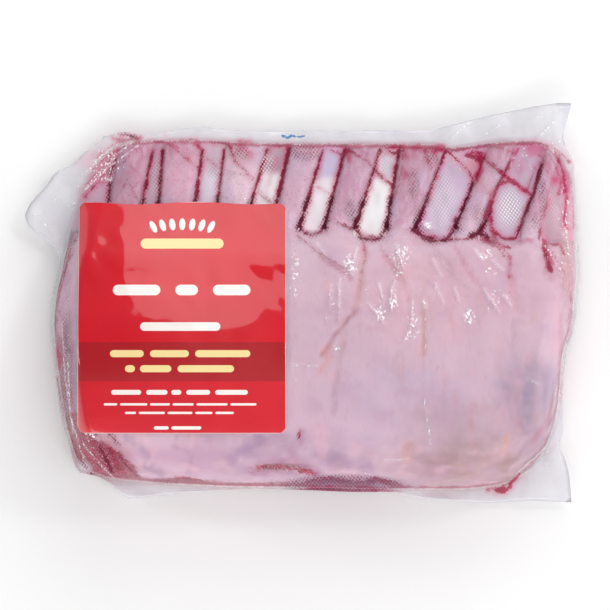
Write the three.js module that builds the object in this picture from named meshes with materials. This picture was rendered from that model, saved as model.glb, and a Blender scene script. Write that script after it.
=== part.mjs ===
// A frenched rack of lamb, sealed in a clear vacuum bag, with a printed label stuck on its fat cap.
// The rack lies on its rib side. Millimetres, +Z up: X runs across the ribs, and +Y points at the rib tips.
// The bag is one solid with what it holds. Its outer form is the film's: drawn tight over the meat and the
// ribs, sucked flat between the ribs, and loose round the edge, where its two layers lie on each other.
import * as THREE from "three";

// Heights
const FILM = 1; // both layers of the loose film together, thicker than real film
const SEAM_HEIGHT = 4; // middle of the film where it leaves the meat
const ARCH_HEIGHT = 11; // how far the hollow of the ribs stands off the table
const ARCH_START = -38; // the hollow's ends, in Y
const ARCH_END = 57;
const RIB_THICKNESS = 8;
const WEB_HEIGHT = 3.3; // middle of the film between two ribs, above their underside
const UNDER_RIPPLE = 1.4; // depth of the hollows between ribs on the underside of the meat
const UNDER_LIFT = 1; // how far the underside stands off the table away from the points that it rests on

// Edge roundings, each measured from the meat's edge inwards
const LOIN_ROUND = 20;
const END_ROUND = 11;
const TIP_ROUND = 4.5;
const UNDER_ROUND = 6;

// Ribs, from -X to +X: centre and width where they leave the fat, then centre and width at the tip
const RIB_BASE_Y = 28.4;
const RIB_TIP_Y = 63;
const RIBS = [
  [-73.8, 13.2, -67.1, 13.4],
  [-52.1, 13.8, -48.2, 15.3],
  [-30.2, 11.2, -22.8, 16.8],
  [-7.8, 10.8, 1.6, 13.2],
  [14.1, 11.8, 24.4, 13.6],
  [38.9, 10.9, 48.4, 18.4],
  [65.5, 9.8, 80.2, 10.8],
  [91.2, 8, 101, 5.2],
];

// The underside touches the table at the grid points nearest to these: four under the loin, two under ribs
const FEET = [
  [-76, -60],
  [-79, -44],
  [82, -60],
  [86, -44],
  [-68, 57],
  [77.6, 57],
];
const FLAT_CENTRE = [0, -57]; // a small flat under the loin, level with the feet
const FLAT_RADIUS = 6;

// Label
const LABEL_WIDTH = 83.2;
const LABEL_LENGTH = 92.6; // as seen from above
const LABEL_CENTRE = [-48.4, -5.7];
const LABEL_CORNER = 3.4;
const LABEL_THICKNESS = 0.6;
const LABEL_GAP = 0.6; // air between the label and the faceted bag
const SPAN_START = 20; // where the label starts to run straight, in Y, and where it would meet the ribs
const SPAN_END = 42;

const clamp = THREE.MathUtils.clamp;
const lerp = THREE.MathUtils.lerp;
const smoothstep = THREE.MathUtils.smoothstep;

// A smooth curve through [position, value] pairs. It never swings past them, and stays level beyond its ends.
function curve(pairs) {
  const at = pairs.map((pair) => pair[0]);
  const value = pairs.map((pair) => pair[1]);
  const last = pairs.length - 1;
  const rise = (k) => (value[k + 1] - value[k]) / (at[k + 1] - at[k]);
  const slope = value.map((_, k) => {
    if (k === 0) return rise(0);
    if (k === last) return rise(last - 1);
    const product = rise(k - 1) * rise(k);
    return product <= 0 ? 0 : (2 * product) / (rise(k - 1) + rise(k));
  });
  return (position) => {
    const x = clamp(position, at[0], at[last]);
    let k = 0;
    while (k < last - 1 && x > at[k + 1]) k += 1;
    const span = at[k + 1] - at[k];
    const s = (x - at[k]) / span;
    const r = 1 - s;
    return (
      value[k] * (1 + 2 * s) * r * r +
      slope[k] * span * s * r * r +
      value[k + 1] * s * s * (3 - 2 * s) -
      slope[k + 1] * span * s * s * r
    );
  };
}

// The film's outer edge: left and right sides give X at Y, bottom and top sides give Y at X
const filmLeft = curve([
  [-68.4, -89.6], [-64.8, -92], [-56.8, -94], [-48.8, -96.8], [-36.8, -98.4], [-24.8, -100],
  [-10.8, -101.6], [-0.8, -101.2], [8.4, -99.6], [16.4, -97.8], [20.4, -98.8], [27.2, -105.6],
  [31.2, -110.4], [35.2, -111.6], [39.2, -110], [47.2, -103.2], [53.4, -98.4], [55.4, -93],
  [59.2, -89.2], [63.2, -84], [67.2, -78.8],
]);
const filmRight = curve([
  [-80.2, 108], [-70.8, 107.2], [-63.6, 105.6], [-57.2, 103], [-50.8, 104.4], [-40.8, 104.4],
  [-28.8, 105.2], [-18.8, 106.4], [-10.8, 108.8], [-0.8, 110.4], [11.2, 111.4], [25.2, 110.8],
  [39.2, 109.8], [55.2, 108.8], [61.2, 106.4], [66, 104], [74, 104.6], [80.3, 101.6],
]);
const filmBottom = curve([
  [-89.6, -68.4], [-83.2, -69.6], [-78, -72.4], [-73.2, -76.8], [-69.2, -78.6], [-59.2, -77.6],
  [-41.2, -76], [-21.2, -75], [-1.2, -75.2], [22.8, -76], [36.8, -76], [43.6, -77.8],
  [54.8, -79.2], [72.8, -80.4], [90.8, -79.6], [108, -80.2],
]);
const filmTop = curve([
  [-78.8, 67.2], [-73.2, 68.8], [-61.2, 67.8], [-55.2, 68.8], [-41.2, 70.8], [-30, 69.6],
  [-17.2, 69.2], [50.8, 69.6], [58, 71.2], [73.6, 75], [93.2, 79], [101.6, 80.3],
]);

// The meat's edge in plan, with the rib tips as its top side
const meatLeft = curve([
  [-66.5, -89.8], [-60, -92], [-50, -95], [-36, -97.3], [-24, -98.9], [-10, -100.3],
  [0, -99.8], [10, -97.8], [20, -95.6], [30, -93.2], [40, -90], [50, -85.6], [58, -80.5],
]);
const meatRight = curve([
  [-66, 92], [-60, 96.5], [-48, 101.2], [-36, 103.2], [-22, 104.4], [-10, 107.4],
  [2, 109.2], [12, 110], [26, 109.4], [40, 108.4], [50, 107.3], [57, 104.5],
]);
const meatBottom = curve([
  [-89.8, -66.5], [-84, -68.4], [-78, -70.2], [-62, -72], [-42, -73.3], [-22, -74],
  [0, -74.2], [36, -74.9], [60, -74.9], [76, -73.5], [86, -70], [92, -66],
]);
const meatTop = curve([
  [-80.5, 58], [-75, 62.2], [-68, 64.4], [-56, 65.2], [-40, 65.2], [-20, 64], [10, 63.6],
  [50, 63.6], [60, 61.8], [70, 63.2], [84, 64.6], [94, 64.4], [100, 61.5], [104.5, 57],
]);

// Where the fat cap ends and the bare ribs begin
const fatEdge = curve([[-100, 29], [0, 28.6], [25, 26.4], [75, 25.6], [110, 24]]);

// Top of the fat cap down the middle of the rack
const fatTop = curve([
  [-75, 40], [-58, 44.5], [-45, 47], [-30, 46.5], [-15, 43], [0, 37], [15, 28.8], [30, 20],
]);

// Height of the film's middle round the edge. The loose corners stand off the table a little.
function seamHeight(x, y) {
  const tip = Math.hypot(x + 108, y - 36);
  const corner = Math.hypot(x - 102, y - 80);
  const ruffle = 0.7 * Math.sin(x / 7) + 0.5 * Math.sin(x / 3.1 + y / 5);
  const loose = clamp(-edgeDepth(x, y) / 6, 0, 1);
  return SEAM_HEIGHT + 3 * Math.exp(-tip / 14) + 4 * Math.exp(-corner / 16) + ruffle * loose;
}

// How far a point lies inside the meat's edge, negative in the loose film
function edgeDepth(x, y) {
  return Math.min(x - meatLeft(y), meatRight(y) - x, y - meatBottom(x), meatTop(x) - y);
}

// 0 at an edge and 1 from a rounding's width inwards, as a quarter circle
function rounded(depth, width) {
  const t = clamp(depth / width, 0, 1);
  return Math.sqrt(1 - (1 - t) ** 2);
}

function topRounding(x, y) {
  return (
    rounded(x - meatLeft(y), END_ROUND) *
    rounded(meatRight(y) - x, END_ROUND) *
    rounded(y - meatBottom(x), LOIN_ROUND) *
    rounded(meatTop(x) - y, TIP_ROUND)
  );
}

function underRounding(x, y) {
  return rounded(edgeDepth(x, y), UNDER_ROUND);
}

// Left or right edge of a rib at a height on the page
function ribEdge([baseX, baseWidth, tipX, tipWidth], side, y) {
  const t = Math.max(0, (y - RIB_BASE_Y) / (RIB_TIP_Y - RIB_BASE_Y));
  return lerp(baseX, tipX, t) + (side * lerp(baseWidth, tipWidth, t)) / 2;
}

// 1 along the middle of a rib, falling to 0 at its edges, and 0 between ribs
function ribShape(x, y) {
  let shape = 0;
  for (const rib of RIBS) {
    const left = ribEdge(rib, -1, y);
    const right = ribEdge(rib, 1, y);
    const s = Math.abs((2 * x - left - right) / (right - left));
    if (s < 1) shape = Math.max(shape, (1 - s ** 2.6) ** (1 / 2.6));
  }
  return shape;
}

// The hollow under the rack, which the curved ribs span
function arch(y) {
  const t = clamp((y - ARCH_START) / (ARCH_END - ARCH_START), 0, 1);
  return ARCH_HEIGHT * Math.sin(Math.PI * t) ** 2;
}

// Broad unevenness of the fat cap, and the swellings where it laps on to the ribs
function fatLumps(x, y) {
  const broad = 0.9 * Math.sin(x / 31 + 0.6) * Math.sin(y / 23 + 1.1) + 0.5 * Math.sin(x / 13 + y / 19);
  const lap = 1.1 * Math.exp(-(((y - 18) / 9) ** 2)) * ribShape(x, RIB_BASE_Y);
  return broad + lap;
}

function topHeight(x, y) {
  const edge = fatEdge(x);
  const fat = fatTop(y) + fatLumps(x, y);
  const web = arch(y) + WEB_HEIGHT + FILM / 2;
  const rib = arch(y) + RIB_THICKNESS;
  const ribs = lerp(web, rib, ribShape(x, y));
  const inside = lerp(fat, ribs, smoothstep(y, edge - 3, edge + 1.5));
  return lerp(seamHeight(x, y) + FILM / 2, inside, topRounding(x, y));
}

function underHeight(x, y) {
  const base = arch(y) + UNDER_LIFT;
  const web = arch(y) + WEB_HEIGHT - FILM / 2;
  const ribs = lerp(web, base, ribShape(x, y));
  const ripple = UNDER_RIPPLE * (1 - ribShape(x, RIB_BASE_Y)) * (arch(y) / ARCH_HEIGHT);
  const inside = lerp(base + ripple, ribs, smoothstep(y, fatEdge(x) - 3, fatEdge(x) + 1.5));
  return lerp(seamHeight(x, y) - FILM / 2, inside, underRounding(x, y));
}

// The bag's grid. Its columns run up the rack and follow both edges of every rib. Its rows run across it.
// A line is a function that gives X at Y, for a column, or Y at X, for a row.
function columnLines() {
  const span = (y) => meatRight(y) - meatLeft(y);
  const followed = (edgeAt) => (y) => {
    if (y >= RIB_BASE_Y) return edgeAt(y);
    const share = (edgeAt(RIB_BASE_Y) - meatLeft(RIB_BASE_Y)) / span(RIB_BASE_Y);
    return meatLeft(y) + share * span(y);
  };
  const ribLines = RIBS.flatMap((rib) => [-1, 1].map((side) => followed((y) => ribEdge(rib, side, y))));
  const first = ribLines[0];
  const last = ribLines[ribLines.length - 1];
  const wallShare = 0.75;
  return [
    filmLeft,
    meatLeft,
    (y) => lerp(meatLeft(y), first(y), wallShare),
    ...ribLines,
    (y) => lerp(meatRight(y), last(y), wallShare),
    meatRight,
    filmRight,
  ];
}

function rowLines() {
  return [
    filmBottom,
    meatBottom,
    (x) => meatBottom(x) + LOIN_ROUND,
    (x) => fatEdge(x) - 4,
    (x) => fatEdge(x) + 2,
    (x) => meatTop(x) - TIP_ROUND,
    meatTop,
    filmTop,
  ];
}

// Shares of the way from each line to the next at which the grid has a line of its own
const even = (count) => Array.from({ length: count }, (_, k) => k / count);
const closing = (count) => even(count).map((t) => t * t); // close together at the start
const opening = (count) => even(count).map((t) => 1 - (1 - t) ** 2); // close together at the end
const ACROSS_RIB = [0, 0.09, 0.32, 0.68, 0.91];
const COLUMN_STEPS = [
  even(2),
  closing(4),
  even(1),
  ...RIBS.flatMap((_, k) => (k < RIBS.length - 1 ? [ACROSS_RIB, even(2)] : [ACROSS_RIB])),
  even(1),
  opening(4),
  even(2),
];
const ROW_STEPS = [even(2), closing(6), even(11), even(4), even(5), opening(3), even(2)];

function gridLines(lines, steps) {
  const made = steps.flatMap((shares, k) =>
    shares.map((share) => (t) => lerp(lines[k](t), lines[k + 1](t), share)),
  );
  return [...made, lines[lines.length - 1]];
}

// The point where a column meets a row
function crossing(column, row) {
  const TRIES = 30;
  let x = 0;
  let y = 0;
  for (let k = 0; k < TRIES; k += 1) {
    y = row(x);
    x = column(y);
  }
  return [x, y];
}

// A closed solid between two height functions over one grid of [x, y] points
function solidBetween(grid, topAt, underAt) {
  const rows = grid.length;
  const columns = grid[0].length;
  const positions = [];
  for (const heightAt of [underAt, topAt]) {
    for (const line of grid) {
      for (const [x, y] of line) positions.push(x, y, heightAt(x, y));
    }
  }
  const under = (row, column) => row * columns + column;
  const top = (row, column) => rows * columns + under(row, column);
  const faces = [];
  for (let row = 0; row + 1 < rows; row += 1) {
    for (let column = 0; column + 1 < columns; column += 1) {
      for (const layer of [top, under]) {
        const [a, b] = [layer(row, column), layer(row, column + 1)];
        const [c, d] = [layer(row + 1, column + 1), layer(row + 1, column)];
        if (layer === top) faces.push(a, b, c, a, c, d);
        else faces.push(a, c, b, a, d, c);
      }
    }
  }
  const wall = (a, b) => faces.push(under(...a), under(...b), top(...b), under(...a), top(...b), top(...a));
  for (let column = 0; column + 1 < columns; column += 1) {
    wall([0, column], [0, column + 1]);
    wall([rows - 1, column + 1], [rows - 1, column]);
  }
  for (let row = 0; row + 1 < rows; row += 1) {
    wall([row, columns - 1], [row + 1, columns - 1]);
    wall([row + 1, 0], [row, 0]);
  }
  const geometry = new THREE.BufferGeometry();
  geometry.setAttribute("position", new THREE.Float32BufferAttribute(positions, 3));
  geometry.setIndex(faces);
  geometry.computeVertexNormals();
  return geometry;
}

// The points of the grid at which the underside touches the table
function restingPoints(grid) {
  const points = grid.flat();
  const distance = ([x, y], [toX, toY]) => Math.hypot(x - toX, y - toY);
  const nearer = (place) => (a, b) => (distance(b, place) < distance(a, place) ? b : a);
  const flat = points.filter((p) => distance(p, FLAT_CENTRE) < FLAT_RADIUS);
  return [...FEET.map((foot) => points.reduce(nearer(foot))), ...flat];
}

function baggedRack() {
  const columns = gridLines(columnLines(), COLUMN_STEPS);
  const rows = gridLines(rowLines(), ROW_STEPS);
  const grid = rows.map((row) => columns.map((column) => crossing(column, row)));
  const resting = restingPoints(grid);
  const rests = (x, y) => resting.some(([restX, restY]) => restX === x && restY === y);
  const underAt = (x, y) => (rests(x, y) ? 0 : underHeight(x, y));
  const clearFilm = new THREE.MeshStandardMaterial({ color: 0xdcb9cb, roughness: 0.25, metalness: 0 });
  const mesh = new THREE.Mesh(solidBetween(grid, topHeight, underAt), clearFilm);
  mesh.name = "bagged_rack";
  return mesh;
}

// The label lies on the film, and runs straight from the fat to the ribs over the hollows between them
function labelRest(x, y) {
  const film = topHeight(x, y);
  if (y < SPAN_START) return film + LABEL_GAP;
  const fatEnd = fatTop(SPAN_START) + fatLumps(x, SPAN_START);
  const ribTop = arch(SPAN_END) + RIB_THICKNESS;
  const straight = lerp(fatEnd, ribTop, (y - SPAN_START) / (SPAN_END - SPAN_START));
  return Math.max(film, lerp(seamHeight(x, y), straight, topRounding(x, y))) + LABEL_GAP;
}

function label() {
  const CORNER_STEPS = 3;
  const STRAIGHT_ROWS = 20;
  const COLUMNS = 18;
  const halfLength = LABEL_LENGTH / 2;
  const straight = halfLength - LABEL_CORNER;
  // Columns stand closer together at the sides, where the label bends down over the end of the rack
  const columnShares = Array.from({ length: COLUMNS + 1 }, (_, k) => -Math.cos((Math.PI * k) / COLUMNS));
  const cornerRows = Array.from({ length: CORNER_STEPS }, (_, k) => {
    const turn = ((k + 1) / CORNER_STEPS) * (Math.PI / 2);
    return straight + LABEL_CORNER * Math.sin(turn);
  });
  const rowsY = [
    ...cornerRows.map((y) => -y).reverse(),
    ...Array.from({ length: STRAIGHT_ROWS + 1 }, (_, k) => straight * ((2 * k) / STRAIGHT_ROWS - 1)),
    ...cornerRows,
  ];
  const grid = rowsY.map((y) => {
    const past = Math.max(0, Math.abs(y) - straight);
    const inset = LABEL_CORNER - Math.sqrt(Math.max(0, LABEL_CORNER ** 2 - past ** 2));
    const halfWidth = LABEL_WIDTH / 2 - inset;
    return columnShares.map((share) => [LABEL_CENTRE[0] + halfWidth * share, LABEL_CENTRE[1] + y]);
  });
  const paper = new THREE.MeshStandardMaterial({ color: 0xd81f31, roughness: 0.35, metalness: 0 });
  const geometry = solidBetween(grid, (x, y) => labelRest(x, y) + LABEL_THICKNESS, labelRest);
  const mesh = new THREE.Mesh(geometry, paper);
  mesh.name = "label";
  return mesh;
}

const group = new THREE.Group();
group.add(baggedRack(), label());
export default group;
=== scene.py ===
"""A frenched rack of lamb in a clear vacuum bag: the film, the meat, the ribs and the printed label.

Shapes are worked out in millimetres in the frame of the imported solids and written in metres. The outlines and
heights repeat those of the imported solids, so that the film and all that it holds lie where the solids do.
"""
import math

import bpy
import numpy as np
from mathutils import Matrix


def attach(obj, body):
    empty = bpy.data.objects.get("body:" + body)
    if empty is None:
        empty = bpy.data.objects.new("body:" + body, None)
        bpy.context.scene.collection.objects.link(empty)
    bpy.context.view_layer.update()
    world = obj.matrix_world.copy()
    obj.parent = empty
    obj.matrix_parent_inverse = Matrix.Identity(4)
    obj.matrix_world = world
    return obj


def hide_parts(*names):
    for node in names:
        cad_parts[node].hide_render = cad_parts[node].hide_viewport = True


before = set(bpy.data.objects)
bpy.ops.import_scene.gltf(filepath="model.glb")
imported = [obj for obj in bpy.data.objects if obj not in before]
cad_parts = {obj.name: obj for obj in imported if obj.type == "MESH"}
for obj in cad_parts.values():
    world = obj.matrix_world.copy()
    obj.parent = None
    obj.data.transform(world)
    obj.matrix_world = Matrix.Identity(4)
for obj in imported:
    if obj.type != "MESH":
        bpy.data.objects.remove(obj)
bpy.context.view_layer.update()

MM = 0.001

# Heights and roundings of the bag, in millimetres
FILM = 1.0
SEAM_HEIGHT = 4.0
ARCH_HEIGHT = 11.0
ARCH_START = -38.0
ARCH_END = 57.0
RIB_THICKNESS = 8.0
WEB_HEIGHT = 3.3
UNDER_RIPPLE = 1.4
UNDER_LIFT = 1.0
LOIN_ROUND = 20.0
END_ROUND = 11.0
TIP_ROUND = 4.5
UNDER_ROUND = 6.0

# The fat's swelling where it laps over the feet of the ribs
LAP_HEIGHT = 1.1
LAP_CENTRE = 18.0
LAP_REACH = 9.0

# The two corners of the loose film that stand up a little
LEFT_TIP = (-108, 36)
RIGHT_TIP = (102, 80)

# Ribs, from -X to +X: centre and width where they leave the fat, then centre and width at the tip
RIB_BASE_Y = 28.4
RIB_TIP_Y = 63.0
RIBS = [
    (-73.8, 13.2, -67.1, 13.4),
    (-52.1, 13.8, -48.2, 15.3),
    (-30.2, 11.2, -22.8, 16.8),
    (-7.8, 10.8, 1.6, 13.2),
    (14.1, 11.8, 24.4, 13.6),
    (38.9, 10.9, 48.4, 18.4),
    (65.5, 9.8, 80.2, 10.8),
    (91.2, 8.0, 101.0, 5.2),
]

# Where the underside touches the table
FEET = [(-76, -60), (-79, -44), (82, -60), (86, -44), (0, -54), (-68, 57), (77.6, 57)]
FOOT_REACH = 6.0

# Label
LABEL_WIDTH = 83.2
LABEL_LENGTH = 92.6
LABEL_CENTRE = (-48.4, -5.7)
LABEL_CORNER = 3.4
LABEL_THICKNESS = 0.3
LABEL_GAP = 0.35
SPAN_START = 20.0
SPAN_END = 42.0

# Gaps between the film and what it is drawn on to
MEAT_INSET = 0.3
SIDE_INSET = 0.35
BONE_DEPTH_IN_MEAT = 0.8


def curve(*pairs):
    """A smooth curve through (position, value) pairs that never swings past them."""
    at = np.array([pair[0] for pair in pairs], float)
    value = np.array([pair[1] for pair in pairs], float)
    rise = np.diff(value) / np.diff(at)
    product = rise[:-1] * rise[1:]
    total = np.where(product > 0, rise[:-1] + rise[1:], 1.0)
    inner = np.where(product > 0, 2 * product / total, 0.0)
    slope = np.concatenate(([rise[0]], inner, [rise[-1]]))

    def value_at(position):
        x = np.clip(position, at[0], at[-1])
        k = np.clip(np.searchsorted(at, x, side="right") - 1, 0, len(at) - 2)
        span = at[k + 1] - at[k]
        s = (x - at[k]) / span
        r = 1 - s
        return (
            value[k] * (1 + 2 * s) * r * r
            + slope[k] * span * s * r * r
            + value[k + 1] * s * s * (3 - 2 * s)
            - slope[k + 1] * span * s * s * r
        )

    return value_at


# The film's outer edge: left and right sides give X at Y, bottom and top sides give Y at X
film_left = curve(
    (-68.4, -89.6), (-64.8, -92), (-56.8, -94), (-48.8, -96.8), (-36.8, -98.4), (-24.8, -100),
    (-10.8, -101.6), (-0.8, -101.2), (8.4, -99.6), (16.4, -97.8), (20.4, -98.8), (27.2, -105.6),
    (31.2, -110.4), (35.2, -111.6), (39.2, -110), (47.2, -103.2), (53.4, -98.4), (55.4, -93),
    (59.2, -89.2), (63.2, -84), (67.2, -78.8),
)
film_right = curve(
    (-80.2, 108), (-70.8, 107.2), (-63.6, 105.6), (-57.2, 103), (-50.8, 104.4), (-40.8, 104.4),
    (-28.8, 105.2), (-18.8, 106.4), (-10.8, 108.8), (-0.8, 110.4), (11.2, 111.4), (25.2, 110.8),
    (39.2, 109.8), (55.2, 108.8), (61.2, 106.4), (66, 104), (74, 104.6), (80.3, 101.6),
)
film_bottom = curve(
    (-89.6, -68.4), (-83.2, -69.6), (-78, -72.4), (-73.2, -76.8), (-69.2, -78.6), (-59.2, -77.6),
    (-41.2, -76), (-21.2, -75), (-1.2, -75.2), (22.8, -76), (36.8, -76), (43.6, -77.8),
    (54.8, -79.2), (72.8, -80.4), (90.8, -79.6), (108, -80.2),
)
film_top = curve(
    (-78.8, 67.2), (-73.2, 68.8), (-61.2, 67.8), (-55.2, 68.8), (-41.2, 70.8), (-30, 69.6),
    (-17.2, 69.2), (50.8, 69.6), (58, 71.2), (73.6, 75), (93.2, 79), (101.6, 80.3),
)

# The meat's edge in plan, with the rib tips as its top side
meat_left = curve(
    (-66.5, -89.8), (-60, -92), (-50, -95), (-36, -97.3), (-24, -98.9), (-10, -100.3),
    (0, -99.8), (10, -97.8), (20, -95.6), (30, -93.2), (40, -90), (50, -85.6), (58, -80.5),
)
meat_right = curve(
    (-66, 92), (-60, 96.5), (-48, 101.2), (-36, 103.2), (-22, 104.4), (-10, 107.4),
    (2, 109.2), (12, 110), (26, 109.4), (40, 108.4), (50, 107.3), (57, 104.5),
)
meat_bottom = curve(
    (-89.8, -66.5), (-84, -68.4), (-78, -70.2), (-62, -72), (-42, -73.3), (-22, -74),
    (0, -74.2), (36, -74.9), (60, -74.9), (76, -73.5), (86, -70), (92, -66),
)
meat_top = curve(
    (-80.5, 58), (-75, 62.2), (-68, 64.4), (-56, 65.2), (-40, 65.2), (-20, 64), (10, 63.6),
    (50, 63.6), (60, 61.8), (70, 63.2), (84, 64.6), (94, 64.4), (100, 61.5), (104.5, 57),
)
fat_edge = curve((-100, 29), (0, 28.6), (25, 26.4), (75, 25.6), (110, 24))
fat_top = curve((-75, 40), (-58, 44.5), (-45, 47), (-30, 46.5), (-15, 43), (0, 37), (15, 28.8), (30, 20))


def lerp(a, b, t):
    return a + (b - a) * t


def smoothstep(low, high, value):
    t = np.clip((value - low) / (high - low), 0, 1)
    return t * t * (3 - 2 * t)


def noise(x, y, size, seed):
    """Smooth noise from -1 to 1 with features of about size millimetres."""
    cells = 97
    table = np.random.default_rng(seed).uniform(-1, 1, (cells, cells))
    wide, high = size if isinstance(size, tuple) else (size, size)
    u = x / wide + 1000
    v = y / high + 1000
    i = np.floor(u).astype(int)
    j = np.floor(v).astype(int)
    s = u - i
    t = v - j
    s = s ** 3 * (s * (6 * s - 15) + 10)
    t = t ** 3 * (t * (6 * t - 15) + 10)
    low = lerp(table[i % cells, j % cells], table[(i + 1) % cells, j % cells], s)
    up = lerp(table[i % cells, (j + 1) % cells], table[(i + 1) % cells, (j + 1) % cells], s)
    return lerp(low, up, t)


def blob(x, y, spot):
    """1 at the middle of an oval spot (x, y, half width, half height), fading to 0 a little past its edge."""
    distance = np.hypot((x - spot[0]) / spot[2], (y - spot[1]) / spot[3])
    return 1 - smoothstep(0.35, 1.35, distance)


def strongest(x, y, spots, column=4):
    """The largest share that a spot has at each point. Column says where a spot keeps its strength."""
    share = np.zeros(x.shape)
    for spot in spots:
        share = np.maximum(share, spot[column] * blob(x, y, spot))
    return share


def edge_depth(x, y):
    across = np.minimum(x - meat_left(y), meat_right(y) - x)
    along = np.minimum(y - meat_bottom(x), meat_top(x) - y)
    return np.minimum(across, along)


def seam_height(x, y):
    from_left_tip = np.hypot(x - LEFT_TIP[0], y - LEFT_TIP[1])
    from_right_tip = np.hypot(x - RIGHT_TIP[0], y - RIGHT_TIP[1])
    raised = 3 * np.exp(-from_left_tip / 14) + 4 * np.exp(-from_right_tip / 16)
    ruffle = 0.7 * np.sin(x / 7) + 0.5 * np.sin(x / 3.1 + y / 5)
    loose = np.clip(-edge_depth(x, y) / 6, 0, 1)
    return SEAM_HEIGHT + raised + ruffle * loose


def rounded(depth, width):
    t = np.clip(depth / width, 0, 1)
    return np.sqrt(1 - (1 - t) ** 2)


def top_rounding(x, y, inset=0.0):
    return (
        rounded(x - meat_left(y) - inset, END_ROUND)
        * rounded(meat_right(y) - x - inset, END_ROUND)
        * rounded(y - meat_bottom(x) - inset, LOIN_ROUND)
        * rounded(meat_top(x) - y - inset, TIP_ROUND)
    )


def rib_edge(rib, side, y):
    base_x, base_width, tip_x, tip_width = rib
    t = np.maximum(0, (y - RIB_BASE_Y) / (RIB_TIP_Y - RIB_BASE_Y))
    return lerp(base_x, tip_x, t) + side * lerp(base_width, tip_width, t) / 2


def rib_shape(x, y):
    shape = np.zeros(np.broadcast(x, y).shape)
    for rib in RIBS:
        left = rib_edge(rib, -1, y)
        right = rib_edge(rib, 1, y)
        s = np.minimum(np.abs((2 * x - left - right) / (right - left)), 1)
        shape = np.maximum(shape, (1 - s ** 2.6) ** (1 / 2.6))
    return shape


def arch(y):
    t = np.clip((y - ARCH_START) / (ARCH_END - ARCH_START), 0, 1)
    return ARCH_HEIGHT * np.sin(np.pi * t) ** 2


def rib_swell(x):
    """A soft swelling over each rib's foot."""
    return sum(np.exp(-(((x - rib[0]) / (0.55 * rib[1])) ** 2)) for rib in RIBS)


def broad_lumps(x, y):
    waves = 0.9 * np.sin(x / 31 + 0.6) * np.sin(y / 23 + 1.1) + 0.5 * np.sin(x / 13 + y / 19)
    left_end = -7.0 * (np.maximum(0, -57 - x) / 50) ** 2
    right_end = -2.4 * (np.maximum(0, x - 46) / 50) ** 2
    return waves + left_end + right_end


def lap(y):
    return LAP_HEIGHT * np.exp(-(((y - LAP_CENTRE) / LAP_REACH) ** 2))


def fat_lumps(x, y):
    return broad_lumps(x, y) + lap(y) * rib_swell(x)


def bare_share(x, y):
    """0 on the fat and 1 on the bare ribs: a steep U in each gap, and a soft fade along each rib."""
    swell = np.minimum(rib_swell(x - 0.27 * (y - RIB_BASE_Y)), 1)
    edge = fat_edge(x) - 1.2 + 4.5 * swell
    return smoothstep(edge - 2.4 - 5 * swell, edge + 1.2 + 5 * swell, y)


def top_height(x, y, inset=0.0):
    fat = fat_top(y) + fat_lumps(x, y)
    web = arch(y) + WEB_HEIGHT + FILM / 2
    ribs = lerp(web, arch(y) + RIB_THICKNESS, rib_shape(x, y))
    inside = lerp(fat, ribs, bare_share(x, y))
    return lerp(seam_height(x, y) + FILM / 2, inside, top_rounding(x, y, inset))


def under_height(x, y):
    base = arch(y) + UNDER_LIFT
    web = arch(y) + WEB_HEIGHT - FILM / 2
    ribs = lerp(web, base, rib_shape(x, y))
    ripple = UNDER_RIPPLE * (1 - rib_shape(x, np.full_like(y, RIB_BASE_Y))) * (arch(y) / ARCH_HEIGHT)
    inside = lerp(base + ripple, ribs, smoothstep(fat_edge(x) - 3, fat_edge(x) + 1.5, y))
    for foot_x, foot_y in FEET:
        near = smoothstep(FOOT_REACH, 1.5, np.hypot(x - foot_x, y - foot_y))
        inside = inside * (1 - near)
    return lerp(seam_height(x, y) - FILM / 2, inside, rounded(edge_depth(x, y), UNDER_ROUND))


FAR_OUTSIDE = -9.0


def stroke_depth(x, y, points, start_width, end_width):
    """How far each point lies inside a stroke, in millimetres, negative outside it."""
    best = np.full(x.shape, FAR_OUTSIDE)
    points = np.array(points, float)
    reach = 4 + max(start_width, end_width)
    low = points.min(0) - reach
    high = points.max(0) + reach
    near = (x > low[0]) & (x < high[0]) & (y > low[1]) & (y < high[1])
    if not near.any():
        return best
    px = x[near]
    py = y[near]
    lengths = np.hypot(*np.diff(points, axis=0).T)
    total = lengths.sum()
    passed = 0.0
    inside = np.full(px.shape, FAR_OUTSIDE)
    for (ax, ay), (bx, by), length in zip(points[:-1], points[1:], lengths):
        t = np.clip(((px - ax) * (bx - ax) + (py - ay) * (by - ay)) / length ** 2, 0, 1)
        distance = np.hypot(px - lerp(ax, bx, t), py - lerp(ay, by, t))
        width = lerp(start_width, end_width, (passed + t * length) / total)
        inside = np.maximum(inside, width / 2 - distance)
        passed += length
    best[near] = inside
    return best


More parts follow.
